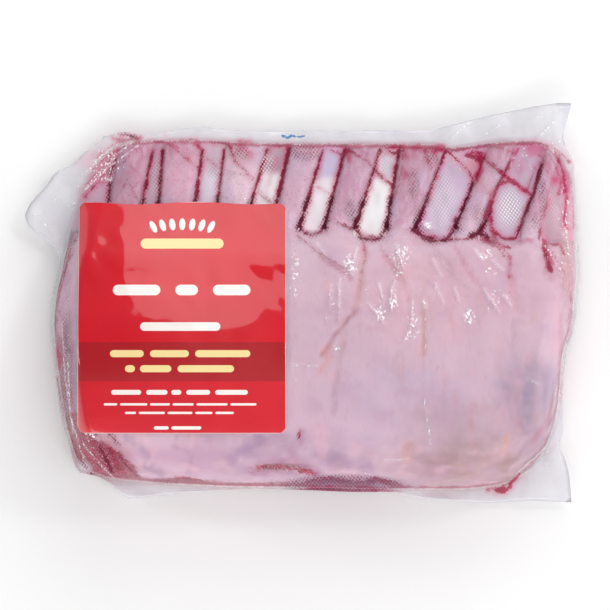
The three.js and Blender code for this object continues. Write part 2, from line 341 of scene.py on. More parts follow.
# Blood that has gathered in creases of the film, and one stroke of painted shadow under the label: points,
# start and end width, darkness, strength
CREASE_BLOOD_AND_SHADOW = [
    # Folds at the top left corner
    ([(-85.8, 54.1), (-81.3, 60), (-76.5, 63.8), (-71, 66.8)], 0.3, 0.5, 0.25, 0.65),
    ([(-84.1, 56.5), (-79.3, 61.7), (-74.4, 64.4), (-68.2, 66.2)], 0.3, 0.7, 0.3, 0.7),
    ([(-84.8, 53.4), (-79.3, 58.6), (-73, 62.4), (-66.2, 64.8), (-60, 65.2)], 0.5, 0.5, 0.3, 0.8),
    ([(-88.2, 44.8), (-85.5, 49.6), (-80.6, 54.4), (-76.5, 57.9), (-72.4, 60.6)], 0.5, 0.3, 0.25, 0.65),
    ([(-86.5, 51), (-82.5, 55.2), (-78, 59.8), (-72.5, 63.6)], 0.3, 0.3, 0.2, 0.6),
    ([(-87.5, 46.5), (-82, 52.8), (-76, 59), (-70, 63)], 0.4, 0.4, 0.6, 0.7),
    ([(-82, 50), (-76.5, 55), (-71.5, 60.6)], 0.4, 0.4, 0.5, 0.55),
    ([(-87.6, 42.8), (-83.4, 47.6), (-77.9, 49.3)], 0.9, 0.5, 0.4, 0.75),
    ([(-83, 46.5), (-79.5, 52.5), (-75, 57)], 0.4, 0.4, 0.2, 0.5),
    ([(-73.5, 67.6), (-70.2, 67.4), (-67, 66.4)], 0.9, 1.3, 0.75, 0.9),
    ([(-76.4, 66.2), (-72, 65.6), (-66.5, 65.8)], 0.4, 0.5, 0.5, 0.75),
    ([(-75.5, 54.5), (-72, 56.5), (-68.5, 61)], 0.5, 0.4, 0.3, 0.6),
    ([(-71.5, 40.5), (-69, 45), (-65.5, 49.5)], 0.4, 0.5, 0.2, 0.55),
    ([(-75.2, 57.2), (-77.6, 52.4), (-78, 41.2)], 0.7, 1.4, 0.75, 0.9),
    ([(-74, 43.5), (-70.6, 49.6), (-66.6, 42)], 0.7, 0.7, 0.3, 0.65),
    ([(-79, 60), (-72, 58), (-67, 53)], 0.5, 0.9, 0.25, 0.5),
    # Second to fourth rib
    ([(-54.8, 64.8), (-47.6, 58.4), (-42.9, 54.4)], 1.3, 0.6, 0.25, 0.8),
    ([(-45.3, 65.6), (-40.6, 61.8)], 1.2, 0.9, 0.25, 0.7),
    ([(-51.5, 57.2), (-48.6, 55.6), (-46.8, 57)], 0.4, 0.6, 0.5, 0.5),
    ([(-50, 47.5), (-46.5, 50)], 0.5, 0.4, 0.6, 0.35),
    ([(-53.2, 56.2), (-45.2, 49.6)], 0.5, 0.5, 0.5, 0.45),
    ([(-30, 64.2), (-27, 57), (-19.9, 50)], 1.3, 0.6, 0.3, 0.85),
    ([(-31.7, 53.3), (-24.9, 51.9), (-20.2, 49.4)], 0.5, 0.7, 0.3, 0.55),
    ([(-39.6, 58.9), (-32.8, 53.3)], 0.4, 0.5, 0.6, 0.5),
    ([(-18.5, 45.2), (-12, 39.3)], 0.4, 0.5, 0.7, 0.6),
    ([(-2.8, 52.8), (2, 50.2)], 0.5, 0.4, 0.3, 0.4),
    ([(4.8, 47.2), (12, 43.2)], 0.4, 0.4, 0.4, 0.35),
    # Fifth and sixth rib
    ([(11, 61.7), (16, 59.5), (19, 61.5)], 0.8, 1.4, 0.3, 0.75),
    ([(18.3, 61.7), (26.1, 56.7), (31.2, 51), (39, 44.9)], 1.4, 0.6, 0.45, 0.85),
    ([(13.8, 32.5), (20, 29.7)], 0.7, 1.4, 0.55, 0.8),
    ([(40, 62.4), (39.8, 55), (38.4, 46.6), (36.4, 42)], 0.8, 0.6, 0.25, 0.6),
    ([(32, 63), (36.5, 60), (41, 61.5)], 0.7, 1.4, 0.4, 0.85),
    ([(48.8, 61.7), (51.6, 54.4)], 1.2, 0.7, 0.3, 0.75),
    # Folds over the seventh rib
    ([(56.6, 62.6), (61.6, 57.8), (66.7, 53.3), (69.5, 46.6)], 1.0, 1.1, 0.35, 0.85),
    ([(65.6, 59.6), (70, 61.2), (71.6, 55.6), (69.5, 48.2)], 0.9, 1.3, 0.25, 0.85),
    ([(71.2, 58.9), (75.6, 55.6), (80.7, 51.6), (84, 48.8), (92.4, 42.6)], 1.7, 0.9, 0.3, 0.85),
    ([(70.5, 60.5), (76, 56.5), (81, 52.5)], 0.5, 0.5, 0.8, 0.8),
    ([(65.6, 60), (72.8, 63.4), (80.2, 62.3), (84.6, 60)], 0.9, 0.8, 0.2, 0.7),
    ([(84.6, 59.5), (81.2, 52.8), (75.6, 42.6), (72.8, 34.2)], 0.8, 1.2, 0.35, 0.8),
    ([(75.4, 36.5), (73.2, 32), (70.6, 28.4), (67.5, 26.6)], 1.2, 2.2, 0.9, 0.95),
    ([(71, 28), (74.5, 26.2)], 2.4, 1.0, 0.85, 0.9),
    ([(72.4, 47), (76, 42.5)], 0.6, 0.8, 0.25, 0.6),
    # Seventh gap, in its own outline
    ([(80.5, 51.2), (78, 46.6), (75.1, 38.8), (76.2, 28.6), (81.2, 25.8), (85.2, 25.8)], 0.9, 1.3, 0.3, 0.85),
    ([(80, 48.2), (84, 49.3), (92.5, 43.2)], 1.6, 0.9, 0.25, 0.75),
    ([(82.4, 53.3), (86.8, 62.3)], 0.8, 0.7, 0.2, 0.55),
    ([(93.6, 54.4), (90.3, 46), (86, 48)], 0.5, 0.7, 0.15, 0.45),
    ([(73.4, 37), (76.8, 25.8), (83, 18.5), (82.4, 9.8)], 1.6, 0.8, 0.25, 0.65),
    ([(70, 26), (78, 22.5), (82, 17)], 1.4, 0.8, 0.3, 0.6),
    # Eighth rib and the right-hand end
    ([(95.9, 55.6), (93.1, 44.9), (89.2, 36), (85.6, 26.4)], 1.4, 1.2, 0.6, 0.9),
    ([(98.7, 41.6), (95.3, 33.2), (94.8, 26.4)], 0.6, 0.9, 0.3, 0.7),
    ([(101.5, 60.5), (104.3, 53.3), (106, 42.6), (104.8, 33.2), (106.4, 29.4)], 0.9, 0.6, 0.2, 0.7),
    ([(98.4, 60), (101.8, 55), (103.6, 49), (102.6, 43)], 0.5, 0.7, 0.2, 0.55),
    ([(92, 61.5), (96.5, 58), (98.5, 52)], 0.5, 0.5, 0.2, 0.5),
    ([(94.8, 26), (99.8, 23.6), (103.2, 23.6), (104.8, 19.6)], 1.1, 0.8, 0.2, 0.75),
    ([(96, 23.5), (97.2, 19.5), (99.4, 13)], 0.8, 2.2, 0.5, 0.75),
    ([(99, 21.5), (103.5, 14.5), (106.5, 7.8), (107.6, 1.2)], 0.5, 0.7, 0.3, 0.55),
    ([(106.8, 8), (108, -4.8), (106, -15.2)], 0.7, 0.9, 0.25, 0.55),
    ([(86.8, 64.3), (94.2, 64.6), (100.9, 62), (107, 56.7)], 0.8, 1.4, 0.25, 0.75),
    ([(107.4, 54), (108.4, 44), (108.8, 30)], 0.6, 0.6, 0.3, 0.45),
    ([(102.4, -28.8), (103.6, -36.8), (98.2, -49)], 0.6, 0.7, 0.4, 0.4),
    # Streaks that run down on to the fat
    ([(23.9, 26.9), (25, 19.1), (23.2, 10.8), (22.4, 2)], 1.3, 0.4, 0.15, 0.5),
    ([(-2, 26.9), (6.4, 20.2), (18.3, 12.9)], 1.0, 0.4, 0.3, 0.55),
    ([(31.2, 22), (37.2, 13.6), (41.2, 8.4)], 0.8, 0.5, 0.15, 0.35),
    ([(52, 20), (58.5, 12.5), (66.5, 6)], 0.5, 0.4, 0.4, 0.35),
    # Along the fat's edge under the right-hand gaps
    ([(44, 29.2), (48.2, 27), (54.4, 25), (60.6, 25.6)], 1.8, 1.0, 0.7, 0.9),
    ([(60.6, 25.4), (68.9, 26), (75.8, 24.6), (82.7, 22)], 0.7, 0.9, 0.45, 0.8),
    ([(34, 62.8), (42, 62.6), (50, 62.6), (56, 61.6)], 1.2, 1.8, 0.3, 0.75),
    ([(66, 59.5), (69.5, 58.5), (71.6, 57)], 1.6, 2.2, 0.35, 0.85),
    # Left side
    ([(-98.6, -2), (-95.5, -8), (-94.6, -18), (-93.5, -30), (-91, -44), (-88.6, -56)], 0.3, 0.5, 0.5, 0.6),
    ([(-99, -30), (-96.5, -42), (-93, -54), (-90.5, -62)], 0.3, 0.6, 0.7, 0.7),
    ([(-97, -10), (-94.4, -14), (-93, -20)], 0.6, 0.3, 0.3, 0.5),
    # Bottom left corner
    ([(-80.8, -58), (-78.6, -62.6), (-76.5, -67.6)], 1.6, 1.2, 0.9, 0.85),
    ([(-89, -63.4), (-87, -66.2), (-85, -68.6)], 0.5, 0.5, 0.9, 0.8),
    ([(-77.4, -52.2), (-75, -54.6), (-73.6, -56.4)], 0.9, 0.7, 0.85, 0.75),
    # Painted shadow under the label's lower edge, drawn as a dark stroke
    ([(-84, -52.4), (-81, -53)], 1.2, 0.9, 0.8, 0.7),
    ([(-73.4, -61), (-70.4, -65), (-66.6, -69.4)], 0.7, 1.2, 0.75, 0.7),
    ([(-90, -56), (-88.4, -59.6), (-89, -62)], 0.7, 0.9, 0.35, 0.7),
    ([(-84, -60), (-82.6, -64), (-80.4, -67)], 0.6, 0.8, 0.5, 0.6),
    # Bottom right corner
    ([(74.2, -74.8), (79.5, -74.6), (84.5, -71.6), (87, -68.6)], 1.2, 1.0, 0.25, 0.9),
    ([(77.8, -75.2), (80.6, -75.8), (83.4, -73.6)], 2.4, 2.0, 0.15, 0.9),
]

# Where the film's embossed dots hold blood: x, y, half width, half height, strength
DOTTED = [
    (-28.5, 59.5, 3.0, 3.2, 0.35),
    (-24.9, 60.5, 3.4, 3.4, 1.0),
    (-15.0, 60.5, 4.0, 3.6, 0.4),
    (-14.5, 55.5, 3.4, 2.2, 0.7),
    (0.8, 60.6, 6.6, 4.0, 0.95),
    (19.0, 37.5, 3.0, 6.0, 0.6),
    (22.5, 53.0, 3.5, 5.0, 0.3),
    (32.5, 60.2, 4.0, 2.4, 0.45),
    (44.4, 48.0, 3.2, 7.5, 0.7),
    (51.6, 58.8, 3.4, 4.4, 0.85),
    (46.0, 38.0, 2.6, 6.0, 0.4),
    (70.5, 36.0, 4.0, 6.5, 0.45),
    (96.5, 42.0, 2.0, 9.0, 0.85),
    (93.0, 32.5, 2.2, 4.0, 0.6),
    (62.0, 30.0, 6.0, 3.0, 0.4),
    (50.0, 30.0, 4.0, 2.5, 0.3),
    (16.0, -73.0, 26.0, 4.4, 1.0),
    (-8.0, -66.0, 9.0, 2.0, 0.6),
    (-78.0, -63.0, 11.0, 8.0, 0.4),
    (-54.0, -71.6, 9.0, 1.4, 0.7),
    (-95.0, -26.0, 4.0, 32.0, 0.5),
]

# Thin blood that tints the film: x, y, half width, half height, strength
SMEARS = [
    (-80.0, 57.0, 11.0, 8.0, 0.32),
    (-72.0, 50.0, 6.0, 9.0, 0.4),
    (-50.0, 62.0, 8.0, 3.6, 0.4),
    (-25.0, 60.5, 8.0, 5.0, 0.45),
    (0.8, 62.0, 8.0, 3.0, 0.35),
    (18.5, 61.0, 4.0, 3.2, 0.45),
    (44.0, 58.0, 6.0, 6.0, 0.42),
    (72.0, 57.5, 8.0, 6.0, 0.5),
    (85.0, 57.0, 5.0, 8.0, 0.2),
    (101.0, 54.5, 6.0, 9.0, 0.5),
    (74.0, 33.0, 3.0, 7.0, 0.4),
    (24.0, 18.0, 3.4, 12.0, 0.22),
    (82.0, 17.0, 5.0, 9.0, 0.22),
    (98.5, 16.5, 5.0, 7.0, 0.3),
    (106.0, 0.0, 3.0, 18.0, 0.25),
    (36.0, 8.0, 5.0, 14.0, 0.12),
    (0.0, 26.0, 40.0, 3.0, 0.12),
    (60.0, 25.0, 34.0, 3.0, 0.16),
]

# Streaks of thin blood with soft edges: points, start and end width, strength
SOFT_BLOOD = [
    ([(-88, 44), (-80, 54), (-70, 63)], 5.0, 4.0, 0.34),
    ([(-76, 66), (-70, 66.8), (-66, 66)], 1.6, 2.0, 0.7),
    ([(-73, 44), (-68, 50), (-64, 60)], 5.0, 3.0, 0.3),
    ([(-60, 62), (-63.5, 52), (-65, 42)], 1.6, 1.6, 0.5),
    ([(-55.4, 66), (-49.5, 61.3), (-43.4, 55)], 3.2, 1.4, 0.62),
    ([(-49, 65.4), (-43, 64.8), (-39.8, 60)], 1.8, 1.4, 0.6),
    ([(-31, 64.4), (-27.6, 57), (-20.6, 50)], 3.0, 1.2, 0.62),
    ([(-30, 64.6), (-20, 64), (-14, 62.6)], 2.4, 2.0, 0.5),
    ([(-11, 58), (-13, 50), (-15, 44)], 1.6, 1.4, 0.3),
    ([(-6, 62.6), (3, 62.8), (9, 63)], 3.0, 2.0, 0.5),
    ([(15, 63), (18.4, 61), (19.6, 56)], 1.6, 2.4, 0.7),
    ([(19, 61.4), (27, 56.4)], 2.6, 1.2, 0.5),
    ([(36.4, 62.2), (44, 62.6), (52, 63)], 2.2, 2.2, 0.6),
    ([(40.4, 62.4), (41.2, 57), (40.2, 50), (37.6, 43)], 3.6, 1.4, 0.66),
    ([(57, 62.6), (61, 58.6)], 1.4, 1.0, 0.5),
    ([(65.6, 59.6), (70.6, 59.6), (71.4, 55), (70.4, 49)], 3.0, 2.4, 0.72),
    ([(71.6, 58.9), (78, 53.8), (84, 49.4), (92, 43)], 3.4, 1.6, 0.6),
    ([(66, 60.6), (73, 64), (81, 63), (86, 61)], 2.0, 1.6, 0.5),
    ([(76, 45), (74, 37), (76, 28)], 1.6, 2.2, 0.5),
    ([(92, 62), (99, 60), (104, 55), (106, 46)], 5.0, 4.0, 0.45),
    ([(104.4, 53.3), (106, 42.6), (105, 31)], 2.4, 1.6, 0.6),
    ([(96.6, 23.5), (98, 18), (100.2, 12)], 2.4, 5.4, 0.95),
    ([(42, 62.2), (50, 62), (56, 61.6)], 2.6, 3.0, 0.75),
    ([(44, 28.8), (54, 25.6), (62, 25.6)], 3.0, 2.2, 0.6),
    ([(22, 28.6), (29, 25.6), (36, 27.6)], 2.2, 2.2, 0.5),
    ([(-3, 30), (4, 27), (10, 30)], 1.8, 1.8, 0.45),
    ([(84, 24), (90, 25.4), (96, 24)], 2.4, 2.4, 0.45),
    ([(29.6, 53), (29, 62)], 1.6, 2.0, 0.5),
    ([(27.6, 46), (28.6, 53)], 0.8, 1.6, 0.4),
    ([(-98.5, -14), (-98, -22), (-97, -30)], 1.8, 1.2, 0.6),
    ([(-97, -8), (-93.4, -20), (-92, -36)], 1.0, 1.0, 0.4),
    ([(-90, -55), (-84, -60), (-80, -66)], 4.0, 3.0, 0.45),
    ([(71, 29), (76, 25), (81, 21.6)], 3.6, 2.4, 0.6),
    ([(80, 23), (82.6, 17), (82.6, 10)], 2.8, 1.4, 0.5),
    ([(24.4, 27.4), (24.8, 20), (23.4, 12)], 3.0, 1.4, 0.42),
    ([(6.5, 19), (16, 13)], 1.0, 0.8, 0.3),
    ([(36, 29.6), (45, 28.2)], 2.0, 1.6, 0.45),
    ([(60, 25.6), (70, 25.2)], 2.0, 1.8, 0.5),
    ([(107.4, 30), (108.4, 10), (107, -8)], 1.4, 1.2, 0.3),
    ([(-2, -74.8), (10, -75), (22, -75.4), (38, -75.4)], 2.4, 2.0, 0.75),
]

# Patches of slack film with a colour of their own: x, y, half width, half height, colour on screen, strength
VEILS = [
    (-81.5, -63.0, 13.0, 10.0, (164, 20, 70), 0.46),
    (17.0, -73.2, 26.0, 4.0, (112, 92, 128), 0.42),
    (-88.5, -67.0, 4.2, 4.4, (208, 192, 204), 0.75),
    (106.0, 16.0, 3.2, 16.0, (214, 168, 172), 0.4),
    (60.5, 58.5, 4.4, 3.4, (224, 184, 190), 0.4),
    (67.0, 56.0, 3.4, 4.0, (222, 172, 182), 0.5),
    (-74.0, 51.0, 6.0, 8.0, (172, 142, 158), 0.3),
    (-94.0, 30.0, 5.0, 10.0, (206, 192, 206), 0.3),
]

# Film drawn up in sharp ridges, which catch the light and carry painted white glints: points, height and width
# in millimetres
RIDGES = [
    ([(-6, -24.8), (5.6, -25.2)], 0.5, 1.2),
    ([(32.4, -62.8), (36, -63.1), (42.4, -62.2)], 0.5, 1.2),
    ([(14.4, 9.5), (14.2, -7)], 0.45, 1.2),
    ([(11, 7), (10.4, -3)], 0.3, 1.0),
    ([(18, 18.5), (19.5, 11)], 0.45, 1.1),
    ([(26, 0), (32, -8)], 0.4, 1.1),
    ([(35, 5), (35.2, -3.5)], 0.4, 1.2),
    ([(37, 24), (40, 14)], 0.5, 1.4),
    ([(41, 23), (37.5, 13.5)], 0.4, 1.2),
    ([(43.6, 1), (43.2, -9), (40, -15.5)], 0.45, 1.2),
    ([(48, 1), (48, -4)], 0.35, 1.0),
    ([(53, 8), (56, 0)], 0.35, 1.0),
    ([(72, 6), (78, -3.6)], 0.5, 1.3),
    ([(80, 3), (83, -1)], 0.35, 1.1),
    ([(69, 21.5), (71, 18)], 0.4, 1.6),
    ([(76, 17), (80, 13)], 0.35, 1.3),
    ([(97, 23), (99.5, 19), (102.5, 13.8)], 0.8, 1.6),
    ([(88, -29.5), (94, -32.5)], 0.3, 1.4),
    ([(38.5, -15.5), (42.7, -14.1), (46.1, -11.4)], 0.45, 1.1),
    ([(5, 24.5), (9, 19)], 0.35, 1.1),
    ([(52, 17.5), (55.5, 11)], 0.35, 1.0),
    ([(60.5, 6), (62.5, 0)], 0.35, 1.0),
    ([(49, 0), (48.5, -40), (51, -56)], 0.25, 1.6),
    ([(96.8, 60), (104.5, 66)], 0.6, 1.4),
    ([(94, 66), (101, 73)], 0.5, 1.6),
    ([(60, 66.5), (67, 73)], 0.4, 1.6),
    ([(72, 67), (80, 72)], 0.4, 1.8),
    ([(-92, 37), (-100, 44)], 0.5, 2.0),
    ([(-98, 26), (-108, 36)], 0.5, 2.0),
    ([(-89, 44), (-79, 54), (-66, 63.5)], 0.6, 1.4),
    ([(-92, 40), (-84, 50.5), (-73, 61), (-68, 65)], 0.6, 1.3),
    ([(-90, 50), (-80, 60.5), (-74, 64)], 0.5, 1.3),
    ([(-94, -20), (-93, -45), (-88, -62)], 0.7, 1.6),
    ([(-96.5, -8), (-95, -30), (-92, -52)], 0.6, 1.4),
    ([(-88, -56), (-80, -66), (-76, -70)], 0.6, 1.5),
    ([(105.6, 30), (107, 17)], 0.4, 1.2),
    ([(101.5, -34), (99.5, -45)], 0.4, 1.3),
    ([(-87, 47), (-78, 57.5), (-69, 64.6)], 0.4, 0.9),
    ([(-91, 46), (-84, 55), (-77, 61.5)], 0.4, 0.9),
    ([(86, -68), (93, -62), (99, -56)], 0.5, 1.6),
    ([(48, 32.6), (49.6, 30.4), (52, 29.6)], 0.4, 1.8),
    ([(22, 24), (20.4, 17)], 0.4, 1.2),
    ([(19, 15), (16.6, 10.4)], 0.4, 1.2),
    ([(30.4, 8), (31.6, 2)], 0.35, 1.1),
    ([(36.6, 9), (35, 4.6)], 0.4, 1.2),
    ([(93, 74.6), (98, 74.2)], 0.4, 1.8),
    ([(89, 62), (91.6, 54)], 0.3, 1.2),
]

# Crumpled patches of film: x, y, half width, half height, height of the crumple, share of it that glints with
# extra gloss and painted white glints
CRUMPLES = [
    (18.4, 15.8, 3.6, 4.8, 0.34, 1.0),
    (16.0, 8.5, 3.0, 2.6, 0.2, 0.5),
    (39.2, 19.5, 5.0, 6.2, 0.42, 0.85),
    (37.6, 12.5, 3.4, 3.0, 0.3, 0.7),
    (13.2, 2.6, 2.6, 6.4, 0.22, 0.7),
    (10.0, -5.6, 1.8, 2.4, 0.22, 0.8),
    (26.5, 6.0, 2.6, 3.2, 0.2, 0.5),
    (30.5, -3.4, 3.4, 5.2, 0.3, 0.9),
    (36.0, 1.0, 2.6, 5.6, 0.3, 0.9),
    (43.6, -8.5, 2.4, 7.2, 0.26, 0.9),
    (47.0, 6.0, 2.0, 6.0, 0.2, 0.5),
    (53.5, 8.0, 3.4, 6.0, 0.2, 0.4),
    (13.6, -17.8, 2.2, 1.6, 0.3, 0.9),
    (66.5, -5.4, 3.2, 4.4, 0.34, 1.0),
    (73.2, 19.4, 4.2, 2.6, 0.34, 0.95),
    (75.6, 13.0, 5.0, 3.0, 0.2, 0.6),
    (75.8, 1.0, 4.0, 5.6, 0.25, 0.75),
    (81.6, 1.4, 1.6, 2.2, 0.2, 0.8),
    (-3.0, 12.0, 2.6, 15.0, 0.2, 0.7),
    (-3.2, -20.0, 2.0, 22.0, 0.16, 0.45),
    (38.5, -62.8, 1.6, 1.0, 0.2, 0.8),
    (98.0, 20.5, 3.4, 4.6, 0.25, 0.7),
    (50.0, 31.0, 2.8, 1.8, 0.3, 1.0),
    (91.0, -30.0, 4.5, 3.0, 0.2, 0.4),
    (62.0, 57.0, 4.0, 5.0, 0.3, 0.7),
    (88.0, 58.0, 8.0, 6.0, 0.2, 0.5),
    (99.0, 63.0, 5.0, 4.0, 0.3, 0.8),
    (84.0, 71.0, 12.0, 4.0, 0.2, 0.3),
    (-80.0, 55.0, 9.0, 9.0, 0.45, 0.8),
    (-92.0, 42.0, 10.0, 8.0, 0.3, 0.4),
    (-95.0, -26.0, 4.0, 34.0, 0.4, 0.5),
    (-82.0, -62.0, 11.0, 9.0, 0.35, 0.35),
    (-85.0, -53.5, 3.4, 2.4, 0.3, 1.0),
    (105.0, 20.0, 5.0, 40.0, 0.3, 0.5),
    (103.0, -32.0, 3.0, 22.0, 0.2, 0.4),
    (95.0, -62.0, 10.0, 10.0, 0.25, 0.3),
    (24.0, -68.5, 24.0, 2.6, 0.16, 0.4),
    (-30.0, -66.0, 36.0, 4.0, 0.12, 0.25),
]

# Grooves and veins of the fat, and a few lines of painted shade on it: points, width, colour, strength
FAT_LINES_AND_SHADE = [
    ([(24.7, 20), (23.4, 15.2), (23, 8.4), (21.6, 2.8), (20.6, -3.6)], 1.8, (192, 136, 138), 0.7),
    ([(20.6, -3.6), (14.4, -10.8), (10.8, -15.6), (7.6, -20.8)], 0.9, (166, 104, 116), 0.75),
    ([(9, -18), (9.6, -23), (7.6, -27)], 2.6, (220, 142, 138), 0.5),
    ([(32.3, 19.3), (35.8, 13.8), (39.9, 7.6), (42, 1.3)], 1.0, (196, 108, 130), 0.6),
    ([(50.9, 24.1), (55.1, 18.6), (58.5, 15.2), (59.2, 11)], 0.8, (186, 140, 154), 0.6),
    ([(60.6, 22.8), (65.4, 13.1), (68.2, 9.6), (71.6, 6.2)], 0.8, (194, 110, 134), 0.6),
    ([(6.8, 18.6), (10.9, 15.8), (15.8, 12.4), (19.2, 9.6)], 0.9, (180, 110, 132), 0.7),
    ([(83.3, 9.6), (83.7, 4), (85.4, -2)], 2.2, (206, 134, 148), 0.6),
    ([(13.6, -28), (12.4, -33.6), (12.2, -43)], 1.8, (178, 140, 160), 0.5),
    ([(15.6, -16), (14.6, -23), (13.6, -29)], 1.2, (190, 150, 166), 0.5),
    # Painted shadow: a grey-brown line of shade on the fat
    ([(37.6, -20.4), (35.6, -24.4), (36, -28)], 1.3, (184, 146, 158), 0.5),
    ([(26, -10.6), (30, -9.8), (34, -12)], 1.2, (194, 150, 164), 0.4),
    ([(48.2, -4), (48.3, -12), (48.1, -21)], 0.8, (196, 138, 114), 0.65),
    ([(81, -53), (80.6, -59)], 0.9, (204, 140, 98), 0.8),
    ([(41.4, -56), (40.4, -60), (42.6, -62.4)], 2.4, (188, 134, 112), 0.7),
    ([(67.5, -40), (66.8, -47), (68.2, -60)], 1.0, (192, 132, 144), 0.5),
    ([(84, -8), (83.2, -18), (85, -26), (87, -31)], 1.4, (186, 148, 172), 0.45),
    ([(56, -26), (56.4, -32)], 1.0, (184, 146, 170), 0.4),
    ([(102.8, -5), (103.6, -20), (102, -34), (97.6, -47), (91, -57)], 1.0, (176, 104, 122), 0.6),
    (
        [(-50, -52.5), (-51.5, -56.8), (-47.2, -58.6), (-44.7, -61), (-45, -65.4), (-45.8, -68.2)],
        1.0, (164, 124, 152), 0.6,
    ),
    # Painted shadow: a purple band of shade near the bottom left
    ([(-68.5, -65.4), (-62, -66.4), (-57.5, -68)], 2.4, (132, 96, 126), 0.6),
    ([(-64.4, -59.3), (-63.6, -62), (-63, -64.6)], 0.8, (164, 124, 152), 0.6),
    ([(-38, -52), (-36, -58), (-42, -60)], 0.9, (186, 140, 160), 0.45),
    ([(-70, -53.5), (-66, -57), (-62.5, -61)], 3.6, (150, 112, 144), 0.6),
    ([(-18, -54), (-22, -57.5), (-28, -62)], 4.0, (150, 112, 150), 0.62),
    ([(-8, -53), (-14, -54.5), (-20, -54)], 2.4, (176, 140, 172), 0.5),
    # Painted shadow: a soft purple line of shade low on the fat
    ([(-0.8, -52), (-2.2, -57), (-4.6, -61)], 2.2, (160, 108, 140), 0.65),
    ([(-20, -66.4), (-10, -65.2), (0, -66), (6, -68.4)], 3.4, (142, 76, 110), 0.75),
    # Painted shade: a broad purple band on the fat's lower edge
    ([(7, -60), (14, -63.5), (26, -65)], 4.0, (150, 116, 148), 0.6),
    ([(34, -66), (44, -66), (56, -67.6)], 3.0, (172, 130, 152), 0.5),
]


def film_relief(x, y):
    """Creases and crumples of the drawn film, as a height in millimetres."""
    inside = smoothstep(-3, 3, edge_depth(x, y))
    relief = 0.06 * noise(x, y, (5, 8), 12) * inside
    fine = 1 - np.abs(noise(x + 0.5 * y, y, (2.3, 3.8), 13))
    crossing = 1 - np.abs(noise(x - 0.6 * y, y, (3.1, 2.6), 14))
    for spot in CRUMPLES:
        share = blob(x, y, spot)
        relief += spot[4] * share * (fine ** 3 + 0.8 * crossing ** 4 - 0.5)
    for points, height, width in RIDGES:
        distance = np.clip(-stroke_depth(x, y, points, 0.0, 0.0), 0, 9)
        relief += height * np.exp(-((distance / (0.5 * width)) ** 2))
    on_fat = smoothstep(24, 18, y) * inside
    for points, width, _, strength in FAT_LINES_AND_SHADE:
        groove = smoothstep(-1.6, 0.4, stroke_depth(x, y, points, width, width))
        relief -= 0.4 * strength * groove * on_fat
    relief += 0.3 * on_fat * noise(x, y, (9, 13), 17)
    loose = smoothstep(0, 5, -edge_depth(x, y))
    relief += 0.5 * loose * noise(x, y, 9, 15) + 0.25 * loose * noise(x, y, (3, 5), 16)
    return relief


def film_surface(x, y):
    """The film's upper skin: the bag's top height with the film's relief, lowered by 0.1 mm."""
    return top_height(x, y) + film_relief(x, y) - 0.1


def content_surface(x, y):
    """The upper side of what the film is drawn on to: it takes the film's hollows and half of its folds."""
    relief = film_relief(x, y)
    return top_height(x, y, SIDE_INSET) + np.minimum(relief, 0.5 * relief) - 0.1


# Grid lines: a column gives X at Y and a row gives Y at X. Steps are shares of the way to the next line.
def spaced(count, bunch=0.0):
    """Steps from 0 to 1, closer together at the start for bunch above 0 and at the end below 0."""
    t = np.arange(count) / count
    if bunch > 0:
        return lerp(t, t * t, bunch)
    return lerp(t, 1 - (1 - t) ** 2, -bunch)


def both_ends(count):
    t = np.arange(count) / count
    return lerp(t, (1 - np.cos(np.pi * t)) / 2, 0.6)


def between(first, second, share):
    return lambda t: lerp(first(t), second(t), share)


def grid_lines(lines, steps):
    made = [between(lines[k], lines[k + 1], share) for k, shares in enumerate(steps) for share in shares]
    return made + [lines[-1]]


# Rounds after which the crossings of columns and rows have settled
SETTLING_ROUNDS = 24


def grid_points(columns, rows):
    """Crossings of all columns with all rows, as arrays of X and Y."""
    x = np.zeros((len(rows), len(columns)))
    y = np.zeros_like(x)
    for _ in range(SETTLING_ROUNDS):
        for i, row in enumerate(rows):
            y[i] = row(x[i])
        for j, column in enumerate(columns):
            x[:, j] = column(y[:, j])
    return x, y


def followed(edge_at):
    """A rib's edge line, which below the ribs keeps its share of the meat's width."""
    start = float(edge_at(np.array(RIB_BASE_Y)))
    left = float(meat_left(RIB_BASE_Y))
    share = (start - left) / (float(meat_right(RIB_BASE_Y)) - left)

    def line(y):
        low = meat_left(y) + share * (meat_right(y) - meat_left(y))
        return np.where(y >= RIB_BASE_Y, edge_at(y), low)

    return line


rib_lines = [followed(lambda y, r=rib, s=side: rib_edge(r, s, y)) for rib in RIBS for side in (-1, 1)]


# Width that two of the film's columns take up on the ribs and in the gaps, in millimetres
COLUMN_PAIR = 1.3


def bag_grid():
    wall_share = 0.75
    columns = [film_left, meat_left, between(meat_left, rib_lines[0], wall_share), *rib_lines]
    columns += [between(meat_right, rib_lines[-1], wall_share), meat_right, film_right]
    steps = [spaced(10), spaced(22, 0.8), spaced(4)]
    for k, rib in enumerate(RIBS):
        steps.append(both_ends(2 * round(max(rib[1], rib[3]) / COLUMN_PAIR)))
        if k + 1 < len(RIBS):
            gap = RIBS[k + 1][0] - RIBS[k + 1][1] / 2 - rib[0] - rib[1] / 2
            steps.append(both_ends(2 * round(gap / COLUMN_PAIR)))
    steps += [spaced(4), spaced(18, -0.8), spaced(6)]
    rows = [
        film_bottom,
        meat_bottom,
        lambda x: meat_bottom(x) + LOIN_ROUND,
        lambda x: fat_edge(x) - 4,
        lambda x: fat_edge(x) + 2,
        lambda x: meat_top(x) - TIP_ROUND,
        meat_top,
        film_top,
    ]
    row_steps = [
        spaced(8), spaced(34, 0.85), spaced(124), spaced(12), spaced(48), spaced(10, -0.8), spaced(10),
    ]
    return grid_points(grid_lines(columns, steps), grid_lines(rows, row_steps))


def grid_faces(rows, columns, offset=0, flip=False):
    """Quads of a grid whose points are numbered row by row from offset."""
    index = offset + np.arange(rows * columns).reshape(rows, columns)
    quads = np.stack([index[:-1, :-1], index[:-1, 1:], index[1:, 1:], index[1:, :-1]], -1).reshape(-1, 4)
    return (quads[:, ::-1] if flip else quads).tolist()


